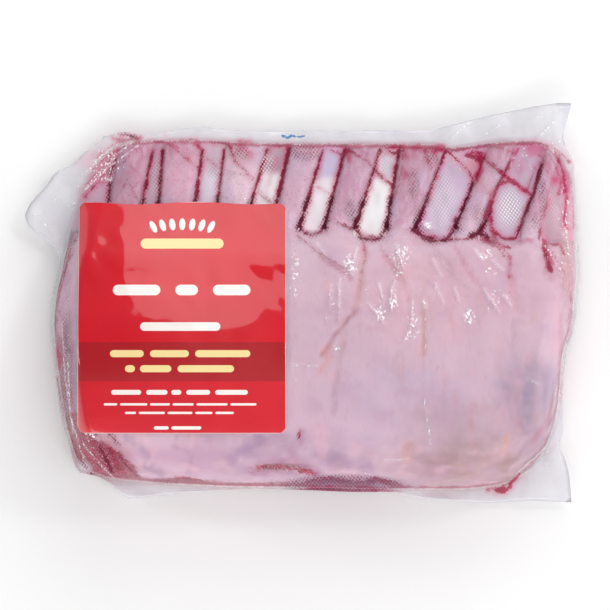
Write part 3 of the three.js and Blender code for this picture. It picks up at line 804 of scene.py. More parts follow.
def new_piece(name, points, faces, material, attributes=None, colours=None):
    """A mesh piece from points in millimetres, riding on the one body."""
    mesh = bpy.data.meshes.new(name)
    mesh.from_pydata((np.asarray(points) * MM).tolist(), [], faces)
    mesh.validate()
    for key, values in (attributes or {}).items():
        layer = mesh.attributes.new(key, "FLOAT", "POINT")
        layer.data.foreach_set("value", np.asarray(values, np.float32).ravel())
    for key, values in (colours or {}).items():
        layer = mesh.attributes.new(key, "FLOAT_COLOR", "POINT")
        rgba = np.concatenate([values, np.ones((len(values), 1))], 1)
        layer.data.foreach_set("color", rgba.astype(np.float32).ravel())
    mesh.polygons.foreach_set("use_smooth", [True] * len(mesh.polygons))
    mesh.materials.append(material)
    mesh.update()
    piece = bpy.data.objects.new(name, mesh)
    bpy.context.scene.collection.objects.link(piece)
    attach(piece, "root")
    return piece


def solid_between(x, y, top, under):
    """Points and faces of a closed solid between two heights over one grid."""
    rows, columns = x.shape
    upper = np.stack([x, y, top], -1).reshape(-1, 3)
    lower = np.stack([x, y, under], -1).reshape(-1, 3)
    count = rows * columns
    faces = grid_faces(rows, columns) + grid_faces(rows, columns, count, flip=True)
    index = np.arange(count).reshape(rows, columns)
    rim = np.concatenate([index[0, :-1], index[:-1, -1], index[-1, :0:-1], index[:0:-1, 0]])
    ahead = np.roll(rim, -1)
    faces += np.stack([rim + count, ahead + count, ahead, rim], -1).tolist()
    return np.concatenate([upper, lower]), faces


def srgb(r, g, b):
    """A colour from 0 to 255 on screen, as the shader's linear numbers."""
    def linear(value):
        c = value / 255
        return c / 12.92 if c <= 0.04045 else ((c + 0.055) / 1.055) ** 2.4
    return (linear(r), linear(g), linear(b))


def mix_colour(under, over, share):
    return under + (np.asarray(over) - under) * np.clip(share, 0, 1)[..., None]


# Materials
class Nodes:
    """Short names for the nodes of one material."""

    def __init__(self, name):
        self.material = bpy.data.materials.new(name)
        self.material.use_nodes = True
        self.tree = self.material.node_tree
        self.shader = self.tree.nodes["Principled BSDF"]

    def add(self, kind, **settings):
        node = self.tree.nodes.new(kind)
        for key, value in settings.items():
            setattr(node, key, value)
        return node

    def link(self, source, target):
        self.tree.links.new(source, target)

    def put(self, socket, value):
        if isinstance(value, bpy.types.NodeSocket):
            self.link(value, socket)
        elif isinstance(value, tuple) and len(value) == 3 and socket.type == "RGBA":
            socket.default_value = (*value, 1)
        else:
            socket.default_value = value

    def set(self, **values):
        for key, value in values.items():
            self.put(self.shader.inputs[key.replace("_", " ")], value)

    def attribute(self, name, colour=False):
        node = self.add("ShaderNodeAttribute", attribute_name=name)
        return node.outputs["Color" if colour else "Fac"]

    def math(self, operation, a, b=0.0, c=0.0, clamp=False):
        node = self.add("ShaderNodeMath", operation=operation, use_clamp=clamp)
        for socket, value in zip(node.inputs, (a, b, c)):
            self.put(socket, value)
        return node.outputs[0]

    def ramp(self, value, low, high, to_low=0.0, to_high=1.0):
        node = self.add("ShaderNodeMapRange", interpolation_type="SMOOTHSTEP")
        for key, number in zip(
            ("Value", "From Min", "From Max", "To Min", "To Max"), (value, low, high, to_low, to_high)
        ):
            self.put(node.inputs[key], number)
        return node.outputs[0]

    def blend(self, share, a, b):
        node = self.add("ShaderNodeMix", data_type="RGBA")
        self.put(node.inputs[0], share)
        self.put(node.inputs[6], a)
        self.put(node.inputs[7], b)
        return node.outputs[2]

    def place(self, scale=(1, 1, 1), turn=0.0):
        """Object coordinates in millimetres, stretched and turned about Z."""
        coordinates = self.add("ShaderNodeTexCoord").outputs["Object"]
        mapping = self.add("ShaderNodeMapping")
        self.link(coordinates, mapping.inputs["Vector"])
        mapping.inputs["Rotation"].default_value = (0, 0, turn)
        mapping.inputs["Scale"].default_value = tuple(s / MM for s in scale)
        return mapping.outputs["Vector"]

    def noise(self, vector, scale, detail=2.0, roughness=0.5):
        node = self.add("ShaderNodeTexNoise")
        self.link(vector, node.inputs["Vector"])
        node.inputs["Scale"].default_value = scale
        node.inputs["Detail"].default_value = detail
        node.inputs["Roughness"].default_value = roughness
        return node.outputs["Fac"]

    def veins(self, noise, inner, outer, strength=1.0):
        """Thin lines where a noise passes its middle value."""
        off_middle = self.math("ABSOLUTE", self.math("SUBTRACT", noise, 0.5))
        return self.ramp(off_middle, inner, outer, strength, 0.0)

    def bump(self, height, distance, strength):
        node = self.add("ShaderNodeBump")
        self.link(height, node.inputs["Height"])
        node.inputs["Distance"].default_value = distance * MM
        node.inputs["Strength"].default_value = strength
        return node.outputs["Normal"]

    def dots(self, pitch):
        """A slightly turned grid of dots, 1 at each dot's middle and 0 between them."""
        turned = self.place((1, 1, 1), math.radians(DOT_TURN))
        split = self.add("ShaderNodeSeparateXYZ")
        self.link(turned, split.inputs[0])
        wave = 2 * math.pi / pitch
        across = self.math("SINE", self.math("MULTIPLY", split.outputs["X"], wave))
        along = self.math("SINE", self.math("MULTIPLY", split.outputs["Y"], wave * DOT_STRETCH))
        return self.math("MULTIPLY_ADD", self.math("MULTIPLY", across, along), 0.5, 0.5)


WHITE = (1.0, 1.0, 1.0)
BRIGHT_BLOOD = srgb(190, 24, 76)
DARK_BLOOD = srgb(92, 0, 36)
FILM_DOT_PITCH = 1.45
DOT_TURN = -8.0
DOT_STRETCH = 0.8
DULL_GLOSS = 0.02
BRIGHT_GLOSS = 0.09
BLUE_PRINT = srgb(24, 122, 184)


def film_blood_and_shadow(n, dots, speck):
    """How far blood covers the film and how dark it is: ragged strokes, one of them a painted shadow, and the
    film's dots near them.
    """
    edge = n.math("MULTIPLY_ADD", speck, 1.8, -0.9)
    edge = n.math("MULTIPLY_ADD", dots, 0.35, edge)
    depth = n.math("ADD", n.attribute("blood_and_shadow"), n.math("ADD", edge, -0.15))
    stroke = n.math("MULTIPLY", n.ramp(depth, -0.3, 0.4), n.attribute("strength"))
    fringe = n.ramp(n.math("MULTIPLY_ADD", edge, 1.5, n.attribute("blood_and_shadow")), -1.0, 0.15, 0.0, 0.72)
    fringe = n.math("MULTIPLY", fringe, n.attribute("darkness"))
    dotted = n.math("MAXIMUM", n.attribute("dotted"), n.math("MULTIPLY", fringe, n.attribute("strength")))
    dotted = n.math("MULTIPLY", n.ramp(dots, 0.46, 0.66), n.ramp(dotted, 0.1, 0.6))
    dotted = n.math("MULTIPLY", dotted, n.ramp(speck, 0.34, 0.52))
    blood_and_shadow = n.math("MAXIMUM", stroke, n.math("MULTIPLY", dotted, 0.85), clamp=True)
    dark = n.math("MULTIPLY_ADD", n.math("MAXIMUM", depth, -0.5), 0.25, n.attribute("darkness"))
    dark = n.math("MULTIPLY_ADD", dotted, 0.45, dark, clamp=True)
    return blood_and_shadow, dark


def film_painted_glints(n, broken, speck):
    """Painted highlights: small white glints put into the film's colour on the creases of crumpled patches and
    along the ridges.
    """
    crease = n.veins(n.noise(n.place((1, 0.5, 1), 0.25), 0.42, 2.0, 0.6), 0.012, 0.03)
    painted_glint = n.math("MULTIPLY", n.ramp(broken, 0.71, 0.78), crease)
    painted_glint = n.math("MAXIMUM", painted_glint, n.ramp(broken, 0.84, 0.89))
    ridge = n.math("MULTIPLY_ADD", speck, 2.2, n.math("ADD", n.attribute("ridge"), -1.25))
    return n.math("MAXIMUM", painted_glint, n.ramp(ridge, -0.15, 0.08, 0.0, 0.9))


def film_material():
    """Clear film: gloss over all of it, haze where it is loose, blood where that has gathered, painted white
    glints, and a painted white sheen on its dots.
    """
    n = Nodes("clear_film")
    place = n.place()
    speck = n.noise(place, 1.1, 3.0, 0.6)
    dots = n.dots(FILM_DOT_PITCH)
    blood_and_shadow, dark = film_blood_and_shadow(n, dots, speck)
    ragged = n.noise(n.place((1, 0.5, 1)), 0.95, 2.0, 0.6)
    broken = n.math("MULTIPLY_ADD", n.attribute("crumple"), 0.3, ragged)
    painted_glint = film_painted_glints(n, broken, speck)
    dot_sheen = n.math("MULTIPLY", n.ramp(dots, 0.45, 0.8), n.attribute("dot_sheen"))
    blue = n.ramp(n.math("MULTIPLY_ADD", speck, 1.2, n.math("ADD", n.attribute("blue"), -0.6)), -0.3, 0.1)
    tint = n.blend(blood_and_shadow, n.attribute("tint", colour=True), n.blend(dark, BRIGHT_BLOOD, DARK_BLOOD))
    # Painted sheen: white on the embossed dots
    tint = n.blend(dot_sheen, tint, WHITE)
    tint = n.blend(blue, tint, BLUE_PRINT)
    # Painted glints: white in the film's colour, and opaque there
    tint = n.blend(painted_glint, tint, WHITE)
    cover = n.math("MAXIMUM", n.attribute("cover"), blood_and_shadow)
    cover = n.math("MAXIMUM", cover, n.math("MULTIPLY", painted_glint, 0.9))
    facing = n.add("ShaderNodeLayerWeight").outputs["Facing"]
    shine = n.math("MAXIMUM", n.attribute("shine"), n.ramp(broken, 0.72, 0.84))
    gloss = n.math("MULTIPLY_ADD", n.math("POWER", facing, 5.0), 0.08, DULL_GLOSS)
    gloss = n.math("MULTIPLY_ADD", shine, BRIGHT_GLOSS, gloss)
    gloss = n.math("MULTIPLY", gloss, n.math("MULTIPLY_ADD", blood_and_shadow, -0.85, 1.0))
    clear = n.math("MULTIPLY", n.math("SUBTRACT", 1.0, cover), n.math("SUBTRACT", 1.0, gloss))
    alpha = n.math("SUBTRACT", 1.0, clear, clamp=True)
    metallic = n.math("DIVIDE", gloss, alpha, clamp=True)
    grain = n.math("ADD", n.math("MULTIPLY", dots, 0.4), n.noise(place, 0.5, 2.0))
    n.set(
        Base_Color=n.blend(metallic, tint, WHITE),
        Metallic=metallic,
        Alpha=alpha,
        Roughness=n.math("MULTIPLY_ADD", shine, -0.22, 0.32),
        Specular_IOR_Level=0.0,
        Normal=n.bump(grain, 0.05, 0.5),
    )
    return n.material


# Pale, lilac, rosy and tan mottles of the fat: noise stretch, turn, scale, detail and roughness, the noise
# where the mottle starts and where it is full, its strength then, and its colour
FAT_MOTTLES = [
    ((1, 1, 1), 0.0, 0.09, 3.0, 0.55, 0.35, 0.68, 0.35, srgb(217, 185, 200)),
    ((1, 1, 1), 0.0, 0.062, 3.0, 0.5, 0.5, 0.66, 0.3, srgb(188, 148, 178)),
    ((1, 0.6, 1), 0.5, 0.1, 2.0, 0.5, 0.52, 0.68, 0.32, srgb(222, 172, 184)),
    ((1, 0.5, 1), 1.1, 0.15, 2.0, 0.5, 0.56, 0.7, 0.25, srgb(196, 150, 152)),
]


def lean_colour(n):
    """Dark and bright fibres of lean meat, with paler patches and thin sinews."""
    fibre = n.noise(n.place((1, 0.55, 1), 0.7), 0.62, 3.0, 0.62)
    patch = n.noise(n.place(), 0.17, 2.0, 0.5)
    lean = n.blend(n.ramp(fibre, 0.42, 0.58), srgb(108, 0, 40), srgb(160, 4, 54))
    lean = n.blend(n.ramp(patch, 0.5, 0.64, 0.0, 0.5), lean, srgb(178, 32, 78))
    sinew = n.veins(n.noise(n.place((1, 0.7, 1)), 0.36, 2.0, 0.6), 0.005, 0.02, 0.6)
    return n.blend(sinew, lean, srgb(220, 160, 178))


def meat_material():
    n = Nodes("fat_and_lean")
    grain = n.noise(n.place((1, 0.35, 1)), 0.5, 4.0, 0.6)
    speck = n.noise(n.place(), 1.3, 3.0, 0.7)
    fat = n.attribute("tint", colour=True)
    for stretch, turn, scale, detail, roughness, start, full, strength, colour in FAT_MOTTLES:
        mottle = n.noise(n.place(stretch, turn), scale, detail, roughness)
        fat = n.blend(n.ramp(mottle, start, full, 0.0, strength), fat, colour)
    fat = n.blend(n.ramp(grain, 0.5, 0.75, 0.0, 0.14), fat, srgb(186, 138, 160))
    reach = n.math("MULTIPLY_ADD", n.math("SUBTRACT", grain, 0.5), 1.5, n.attribute("lean"))
    shown = n.ramp(n.math("MULTIPLY_ADD", n.math("SUBTRACT", speck, 0.5), 1.3, reach), 0.3, 0.75)
    n.set(
        Base_Color=n.blend(shown, fat, lean_colour(n)),
        Roughness=0.42,
        Specular_IOR_Level=0.12,
        Normal=n.bump(n.math("ADD", grain, n.math("MULTIPLY", speck, 0.4)), 0.25, 0.6),
    )
    return n.material


def bone_material():
    n = Nodes("rib_bone")
    streak = n.noise(n.place((1, 0.3, 1)), 0.55, 4.0, 0.6)
    speck = n.noise(n.place(), 1.0, 3.0, 0.65)
    colour = n.attribute("tint", colour=True)
    colour = n.blend(n.ramp(streak, 0.38, 0.68, 0.0, 0.55), colour, srgb(218, 186, 204))
    colour = n.blend(n.ramp(speck, 0.56, 0.72, 0.0, 0.5), colour, srgb(160, 84, 118))
    n.set(
        Base_Color=colour,
        Roughness=0.38,
        Specular_IOR_Level=0.12,
        Normal=n.bump(n.math("ADD", streak, n.math("MULTIPLY", speck, 0.5)), 0.3, 0.6),
    )
    return n.material


def label_material():
    n = Nodes("printed_label")
    place = n.place()
    wash = n.noise(place, 0.03, 2.0)
    speck = n.noise(place, 2.0, 2.0)
    red = n.blend(n.ramp(wash, 0.3, 0.7), srgb(216, 12, 36), srgb(206, 8, 32))
    red = n.blend(n.math("MULTIPLY", n.ramp(n.attribute("band"), -0.12, 0.12), 0.9), red, srgb(170, 16, 28))
    cream = n.ramp(n.attribute("cream"), -0.1, 0.1)
    white = n.ramp(n.attribute("white"), -0.1, 0.1)
    colour = n.blend(cream, red, srgb(250, 224, 158))
    colour = n.blend(white, colour, srgb(250, 240, 236))
    colour = n.blend(n.ramp(n.attribute("rim"), 0.0, 0.35, 1.0, 0.0), colour, srgb(236, 214, 216))
    n.set(
        Base_Color=colour,
        Roughness=0.4,
        Specular_IOR_Level=0.2,
        Normal=n.bump(speck, 0.02, 0.3),
        Coat_Weight=1.0,
        Coat_Roughness=0.06,
    )
    return n.material


# Film bag
HAZE = np.array(srgb(232, 231, 238))
PINK = np.array(srgb(214, 88, 134))
CRIMSON = np.array(srgb(168, 22, 70))
# Upper and lower colour of each gap, from the one before the first rib on, and the height where they change
WINDOWS = [
    (srgb(206, 160, 180), srgb(206, 168, 188), 50),
    (srgb(196, 170, 188), srgb(206, 184, 200), 48),
    (srgb(216, 190, 206), srgb(230, 216, 232), 52),
    (srgb(194, 166, 182), srgb(254, 249, 254), 52.4),
    (srgb(216, 202, 230), srgb(250, 240, 247), 50.4),
    (srgb(226, 210, 224), srgb(255, 253, 255), 50),
    (srgb(209, 184, 209), srgb(216, 193, 216), 46),
    (srgb(207, 174, 198), srgb(209, 188, 209), 52),
    (srgb(206, 168, 188), srgb(210, 172, 188), 45),
]
# Where the embossed dots get a painted white sheen: x, y, half width, half height, strength
PAINTED_DOT_SHEEN = [
    (83.0, 38.0, 5.5, 8.0, 0.9),
    (56.0, 42.0, 6.0, 12.0, 0.5),
    (-26.0, 54.0, 4.0, 5.0, 0.6),
    (-15.0, 56.0, 4.0, 5.0, 0.7),
    (-36.0, 50.0, 4.0, 10.0, 0.35),
    (-59.0, 50.0, 2.5, 10.0, 0.35),
    (32.0, 56.0, 4.0, 6.0, 0.4),
    (72.0, 45.0, 4.0, 5.0, 0.4),
    (100.0, 38.0, 3.0, 8.0, 0.25),
]
BLUE_MARK = [(-8.2, 67.2), (-6.2, 66.4), (-4.6, 67.4), (-2.6, 66.7), (0.8, 67.2)]


def gap_outlines():
    """The U of blood round each gap: down one rib's side, round the fat's edge and up the next rib's side."""
    outlines = []
    heights = np.linspace(61.5, 30.5, 6)
    for left, right in zip(RIBS[:-1], RIBS[1:]):
        down = [(float(rib_edge(left, 1, y)) + 0.3, y) for y in heights]
        up = [(float(rib_edge(right, -1, y)) - 0.3, y) for y in heights[::-1]]
        start, end = down[-1][0], up[0][0]
        low = float(fat_edge(np.array((start + end) / 2))) - 1.2
        curved = ((0.2, 0.9), (0.5, 0.0), (0.8, 0.9))
        bottom = [(lerp(start, end, share), low + rise) for share, rise in curved]
        outlines.append((down, bottom, up))
    return outlines


# Lines of blood round the first six gaps: widths of the left line at the tip and the base, those of the right
# line, the darkness, and the width at the bottom. A right line with no width at the tip ends part way up.
GAP_LINES = [
    (0.9, 1.3, 1.1, 1.5, 0.8, 0.9),
    (0.8, 1.5, 0.7, 1.2, 0.75, 0.9),
    (0.7, 1.4, 1.5, 1.6, 0.75, 0.9),
    (0.6, 1.3, 1.1, 1.2, 0.8, 1.2),
    (0.8, 1.5, 0.9, 1.3, 0.85, 1.6),
    (0.8, 1.4, 0.0, 1.3, 0.85, 1.5),
]


def gap_strokes():
    """Blood round the gaps, then along the rib tips and along the foot of the loin side."""
    strokes = []
    for widths, (down, bottom, up) in zip(GAP_LINES, gap_outlines()):
        tip_left, base_left, tip_right, base_right, dark, base_width = widths
        strokes.append((down[:4], tip_left + 0.3, base_left, dark - 0.35, 0.92))
        strokes.append((down[3:], base_left, base_left + 0.2, dark, 0.95))
        strokes.append(([down[-1], *bottom, up[0]], base_width, 0.8 * base_width, dark - 0.12, 0.88))
        for foot in (down[-1], up[0]):
            strokes.append(([(foot[0] + 0.4, foot[1] + 3.4), foot], 0.8, 2.6, 0.98, 0.97))
        if tip_right == 0:
            strokes.append((up[:4], base_right, 1.1, dark - 0.1, 0.95))
        else:
            strokes.append((up[:3], base_right + 0.2, base_right, dark - 0.05, 0.95))
            strokes.append((up[2:], base_right, tip_right + 0.3, dark - 0.4, 0.92))
    tips = np.linspace(-66, 92, 26)
    strokes.append(([(x, float(meat_top(x)) - 0.4) for x in tips], 0.9, 1.4, 0.25, 0.72))
    foot = np.linspace(-76, 74, 20)
    strokes.append(([(x, float(meat_bottom(x)) + 0.9) for x in foot], 0.9, 0.8, 0.35, 0.6))
    return strokes


def paint_blood_and_shadow(x, y):
    """Depth inside the nearest stroke, with that stroke's darkness and strength."""
    depth = np.full(x.shape, FAR_OUTSIDE)
    darkness = np.full(x.shape, 0.3)
    strength = np.zeros(x.shape)
    wobble = 0.3 * noise(x, y, 2.1, 27) + 0.25 * noise(x, y, 1.1, 28)
    for points, start, end, dark, strong in gap_strokes() + CREASE_BLOOD_AND_SHADOW:
        inside = stroke_depth(x, y, points, start, end) + wobble * min(1, start + end)
        nearer = inside > depth
        depth = np.where(nearer, inside, depth)
        darkness = np.where(nearer, dark, darkness)
        strength = np.where(nearer, strong, strength)
    return np.clip(depth, -3, 3), darkness, strength


def window_tint(x, y):
    """The look of each gap between ribs, which changes at a height of its own."""
    tint = np.zeros((*x.shape, 3))
    for k, (upper, lower, split) in enumerate(WINDOWS):
        after = x > rib_edge(RIBS[k - 1], 0, y) if k else np.ones(x.shape, bool)
        below = np.broadcast_to(np.array(lower), tint.shape)
        shown = mix_colour(below, upper, smoothstep(split - 2, split + 2, y))
        tint = np.where(after[..., None], shown, tint)
    return tint


def paint_smears(x, y, depth, strength):
    """Thin blood on the film: oval smears, soft streaks, and a seep beside each crease."""
    smear = strongest(x, y, SMEARS)
    ragged = 0.7 * noise(x, y, (2.4, 3.2), 25) + 0.4 * noise(x, y, 1.2, 26)
    for points, start, end, strong in SOFT_BLOOD:
        inside = stroke_depth(x, y, points, start, end) + ragged
        smear = np.maximum(smear, strong * smoothstep(-1.7, 1.0, inside))
    smear *= 0.75 + 0.5 * noise(x, y, 3.5, 21)
    seep = np.exp(-((np.clip(-depth, 0, 9) / 1.2) ** 2)) * 0.4 * strength
    return np.clip(np.maximum(smear, seep), 0, 1)


def paint_film(x, y):
    """The film's tint, how far it covers what lies behind, its blood with one stroke of painted shadow, and
    where it gets painted glints and a painted sheen.
    """
    depth, darkness, strength = paint_blood_and_shadow(x, y)
    loose = smoothstep(0.0, 3.0, -edge_depth(x, y) + 0.8)
    gap = (1 - smoothstep(0.02, 0.3, rib_shape(x, y))) * smoothstep(fat_edge(x) - 1, fat_edge(x) + 1.5, y)
    gap *= smoothstep(-1, 1, edge_depth(x, y))
    smear = paint_smears(x, y, depth, strength)
    haze = np.maximum(0.55 * loose, 0.9 * gap) + 0.03
    haze = haze + 0.1 * gap * noise(x, y, (3, 6), 22) + 0.08 * loose * noise(x, y, 5, 23)
    tint = mix_colour(np.broadcast_to(HAZE, (*x.shape, 3)), window_tint(x, y), gap)
    tint = mix_colour(tint, PINK, smear * 1.6)
    tint = mix_colour(tint, CRIMSON, (smear - 0.4) * 1.6)
    cover = np.clip(1 - (1 - haze) * (1 - smear * 0.8), 0.02, 1)
    for *spot, colour, strong in VEILS:
        share = strong * blob(x, y, spot)
        covered = 1 - (1 - cover) * (1 - share)
        tint = mix_colour(tint, srgb(*colour), share / covered)
        cover = covered
    blue = stroke_depth(x, y, BLUE_MARK, 1.0, 0.4)
    cover = np.maximum(cover, 0.9 * smoothstep(-0.5, 0.1, blue))
    ridge = np.full(x.shape, -3.0)
    for points, _, width in RIDGES:
        ridge = np.maximum(ridge, stroke_depth(x, y, points, 0.3 * width, 0.3 * width))
    return {
        "dot_sheen": strongest(x, y, PAINTED_DOT_SHEEN),
        "blue": np.clip(blue, -3, 3),
        "shine": np.maximum(0.4 * loose, 0.6 * smoothstep(-0.9, 0.0, ridge)),
        "crumple": strongest(x, y, CRUMPLES, 5),
        "ridge": np.clip(ridge, -3, 3),
        "blood_and_shadow": depth,
        "darkness": darkness,
        "strength": strength,
        "dotted": strongest(x, y, DOTTED),
        "cover": cover,
    }, tint


# What the back film has in place of the front's blood, glints and blue mark
PLAIN_BACK = {"blood_and_shadow": -3.0, "dotted": 0.0, "strength": 0.0, "crumple": 0.0, "ridge": -3.0, "blue": -3.0}


def make_film():
    x, y = bag_grid()
    rows, columns = x.shape
    if rows % 2 == 0 or columns % 2 == 0:
        raise ValueError("the film's grid needs an odd number of lines each way")
    top = film_surface(x, y)
    under = under_height(x, y)
    rim = np.ones(x.shape, bool)
    rim[1:-1, 1:-1] = False
    top = np.where(rim, (top + under) / 2, np.maximum(top, under + 0.3))
    front = np.stack([x, y, top], -1).reshape(-1, 3)
    back_x = x[2:-2:2, 2:-2:2]
    back_y = y[2:-2:2, 2:-2:2]
    back_z = under[2:-2:2, 2:-2:2]
    back = np.stack([back_x, back_y, back_z], -1).reshape(-1, 3)
    faces = grid_faces(rows, columns)
    faces += back_faces(rows, columns)
    points = np.concatenate([front, back])
    attributes, tint = paint_film(points[:, 0], points[:, 1])
    behind = np.arange(len(points)) >= len(front)
    for key, value in PLAIN_BACK.items():
        attributes[key] = np.where(behind, value, attributes[key])
    attributes["cover"] = np.where(behind, attributes["cover"] * 0.5, attributes["cover"])
    piece = new_piece("film_bag", points, faces, film_material(), attributes, {"tint": tint})
    return piece


def back_faces(rows, columns):
    """Faces of the back film, with half the lines of the front and its outer edge in common with it."""
    inner_rows = (rows - 5) // 2 + 1
    inner_columns = (columns - 5) // 2 + 1
    start = rows * columns

    def corner(i, j):
        """Point number at line pair i, j, counted in double steps from the outer edge."""
        if 0 < i <= inner_rows and 0 < j <= inner_columns:
            return start + (i - 1) * inner_columns + (j - 1)
        return min(2 * i, rows - 1) * columns + min(2 * j, columns - 1)

    faces = []
    last_row = inner_rows + 1
    last_column = inner_columns + 1
    for i in range(last_row):
        for j in range(last_column):
            face = [corner(i, j)]
            if j == 0:
                face.append((2 * i + 1) * columns)
            face.append(corner(i + 1, j))
            if i == last_row - 1:
                face.append((rows - 1) * columns + 2 * j + 1)
            face.append(corner(i + 1, j + 1))
            if j == last_column - 1:
                face.append((2 * i + 1) * columns + columns - 1)
            face.append(corner(i, j + 1))
            if i == 0:
                face.append(2 * j + 1)
            faces.append(face)
    return faces


# Meat and ribs
FAT = np.array(srgb(208, 175, 192))
FAT_SPOTS = [
    # x, y, half width, half height, colour, strength
    (60.0, 5.0, 50.0, 18.0, srgb(206, 156, 170), 0.6),
    (40.0, -35.0, 34.0, 12.0, srgb(194, 168, 192), 0.7),
    (91.0, -38.0, 17.0, 17.0, srgb(146, 130, 156), 0.8),
    (30.0, -50.0, 24.0, 8.0, srgb(198, 170, 194), 0.5),
    (-14.0, -62.0, 54.0, 10.0, srgb(160, 124, 152), 0.8),
    (68.0, -64.0, 36.0, 13.0, srgb(148, 112, 112), 0.85),
    (92.0, -55.0, 9.0, 10.0, srgb(160, 130, 146), 0.8),
    (58.0, -48.0, 20.0, 12.0, srgb(176, 146, 158), 0.6),
    (-46.0, -62.0, 22.0, 8.0, srgb(192, 150, 172), 0.6),
    (-97.0, 0.0, 5.0, 26.0, srgb(170, 128, 158), 0.8),
    (-95.0, -30.0, 7.0, 26.0, srgb(140, 92, 126), 0.9),
    (90.0, 6.0, 14.0, 16.0, srgb(204, 164, 182), 0.5),
    (104.0, -10.0, 5.0, 30.0, srgb(206, 164, 184), 0.5),
]
# Lean meat that shows at the edges: points, start and end width, strength
LEAN = [
    ([(-98, -14), (-96.6, -28), (-94.8, -42), (-90, -56)], 3.0, 9.0, 0.5),
    ([(-92, -50), (-87, -58), (-79, -66), (-68, -71)], 12.0, 6.0, 1.0),
    ([(-80.5, -58), (-75, -62), (-69.5, -67.5)], 5.0, 5.5, 1.0),
    ([(-66, -71.4), (-54, -72), (-46, -71.4), (-38, -73.4)], 2.0, 2.2, 0.9),
    ([(-54, -71.6), (-48, -70.8), (-42, -72)], 2.2, 2.6, 1.0),
    ([(-38, -73.2), (-20, -73.6), (-4, -73.4)], 2.4, 2.8, 0.85),
    ([(-18, -66), (-8, -65.2), (-2, -66.2), (4.4, -68.2)], 2.2, 1.6, 0.85),
    ([(-3, -74), (3, -72), (10.4, -71), (17, -72.6)], 1.4, 3.6, 1.0),
    ([(17, -72.8), (24, -73.2), (29.4, -70.8), (34, -72), (41, -74)], 3.4, 1.2, 1.0),
    ([(-1.8, -53.6), (-1.4, -51.4)], 0.8, 0.8, 0.8),
    ([(103, -28), (103.5, -38), (98, -50)], 1.6, 1.6, 0.4),
]


def paint_meat(x, y, z):
    """Tint of the fat with some painted shade, and how far lean meat shows through it."""
    tint = np.broadcast_to(FAT, (*x.shape, 3))
    for cx, cy, wide, high, colour, strength in FAT_SPOTS:
        tint = mix_colour(tint, colour, strength * blob(x, y, (cx, cy, wide, high)))
    wobble = 0.5 * noise(x, y, 2.4, 37) + 0.4 * noise(x, y, 1.2, 38)
    for points, width, colour, strength in FAT_LINES_AND_SHADE:
        inside = stroke_depth(x, y, points, width, width) + wobble * (0.5 + 0.4 * width)
        soft = 0.7 + 0.45 * width
        tint = mix_colour(tint, srgb(*colour), strength * smoothstep(-soft, 0.5 * soft, inside))
    lean = np.zeros(x.shape)
    for points, start, end, strength in LEAN:
        inside = stroke_depth(x, y, points, start, end)
        lean = np.maximum(lean, strength * smoothstep(-1.6, 1.0, inside))
    side = smoothstep(30, 12, z) * (0.55 + 0.45 * noise(x, z, (14, 9), 32))
    back = (1 - smoothstep(1.5, 9, y - meat_bottom(x))) * side
    ends = (1 - smoothstep(1.0, 6, np.minimum(x - meat_left(y), meat_right(y) - x))) * side
    lean = np.maximum(lean, 0.95 * np.maximum(back, 0.8 * ends))
    return {"lean": lean}, tint


# How far the meat's mesh stays inside the outline of the meat
EDGE_INSET = 0.4


def make_meat():
    columns = [
        lambda y: meat_left(y) + EDGE_INSET,
        lambda y: meat_left(y) + END_ROUND,
        lambda y: meat_right(y) - END_ROUND,
        lambda y: meat_right(y) - EDGE_INSET,
    ]
    rows = [
        lambda x: meat_bottom(x) + EDGE_INSET,
        lambda x: meat_bottom(x) + LOIN_ROUND,
        lambda x: fat_edge(x) - 4,
        lambda x: fat_edge(x) + 1.5,
    ]
    column_lines = grid_lines(columns, [spaced(14, 0.8), spaced(160), spaced(14, -0.8)])
    row_lines = grid_lines(rows, [spaced(26, 0.85), spaced(72), spaced(10)])
    x, y = grid_points(column_lines, row_lines)
    top = content_surface(x, y)
    under = under_height(x, y)
    inset = np.minimum(MEAT_INSET, 0.35 * (top - under))
    points, faces = solid_between(x, y, top - inset, under + inset)
    attributes, tint = paint_meat(points[:, 0], points[:, 1], points[:, 2])
    piece = new_piece("meat", points, faces, meat_material(), attributes, {"tint": tint})
    return piece


RIB_TINTS = [
    srgb(198, 132, 160), srgb(220, 164, 188), srgb(238, 204, 218), srgb(214, 170, 192),
    srgb(200, 148, 174), srgb(198, 140, 166), srgb(205, 154, 176), srgb(194, 134, 160),
]


def rib_tint(k, x, y):
    """Each rib's own colour, which turns into fat at the foot, red at the tip and bluish in patches."""
    tint = np.broadcast_to(np.array(RIB_TINTS[k]), (len(x), 3))
    tint = mix_colour(tint, FAT, 1 - smoothstep(28, 37, y + 3 * noise(x, y, 4, 80 + k)))
    tint = mix_colour(tint, srgb(172, 84, 118), 0.5 * smoothstep(54, 64, y + 4 * noise(x, y, 5, 50 + k)))
    return mix_colour(tint, srgb(196, 176, 206), 0.45 * smoothstep(0.1, 0.7, noise(x, y, (6, 10), 60 + k)))


def make_ribs():
    material = bone_material()
    pieces = []
    for k, rib in enumerate(RIBS):
        columns = grid_lines(
            [lambda y, r=rib: rib_edge(r, -1, y) + 0.25, lambda y, r=rib: rib_edge(r, 1, y) - 0.25],
            [both_ends(22)],
        )
        rows = grid_lines(
            [lambda x: fat_edge(x) - 3, lambda x: meat_top(x) - TIP_ROUND, lambda x: meat_top(x) - 0.3],
            [spaced(52), spaced(8, -0.8)],
        )
        x, y = grid_points(columns, rows)
        top = content_surface(x, y)
        under = under_height(x, y)
        buried = BONE_DEPTH_IN_MEAT * (1 - smoothstep(fat_edge(x) - 0.5, fat_edge(x) + 1.5, y))
        knobs = 0.25 * noise(x, y, (4, 7), 40 + k) - 0.25
        inset = np.minimum(MEAT_INSET + buried - knobs, 0.35 * (top - under))
        points, faces = solid_between(x, y, top - inset, under + inset)
        tint = rib_tint(k, points[:, 0], points[:, 1])
        piece = new_piece(f"rib_{k + 1}", points, faces, material, colours={"tint": tint})
        pieces.append(piece)
    return pieces


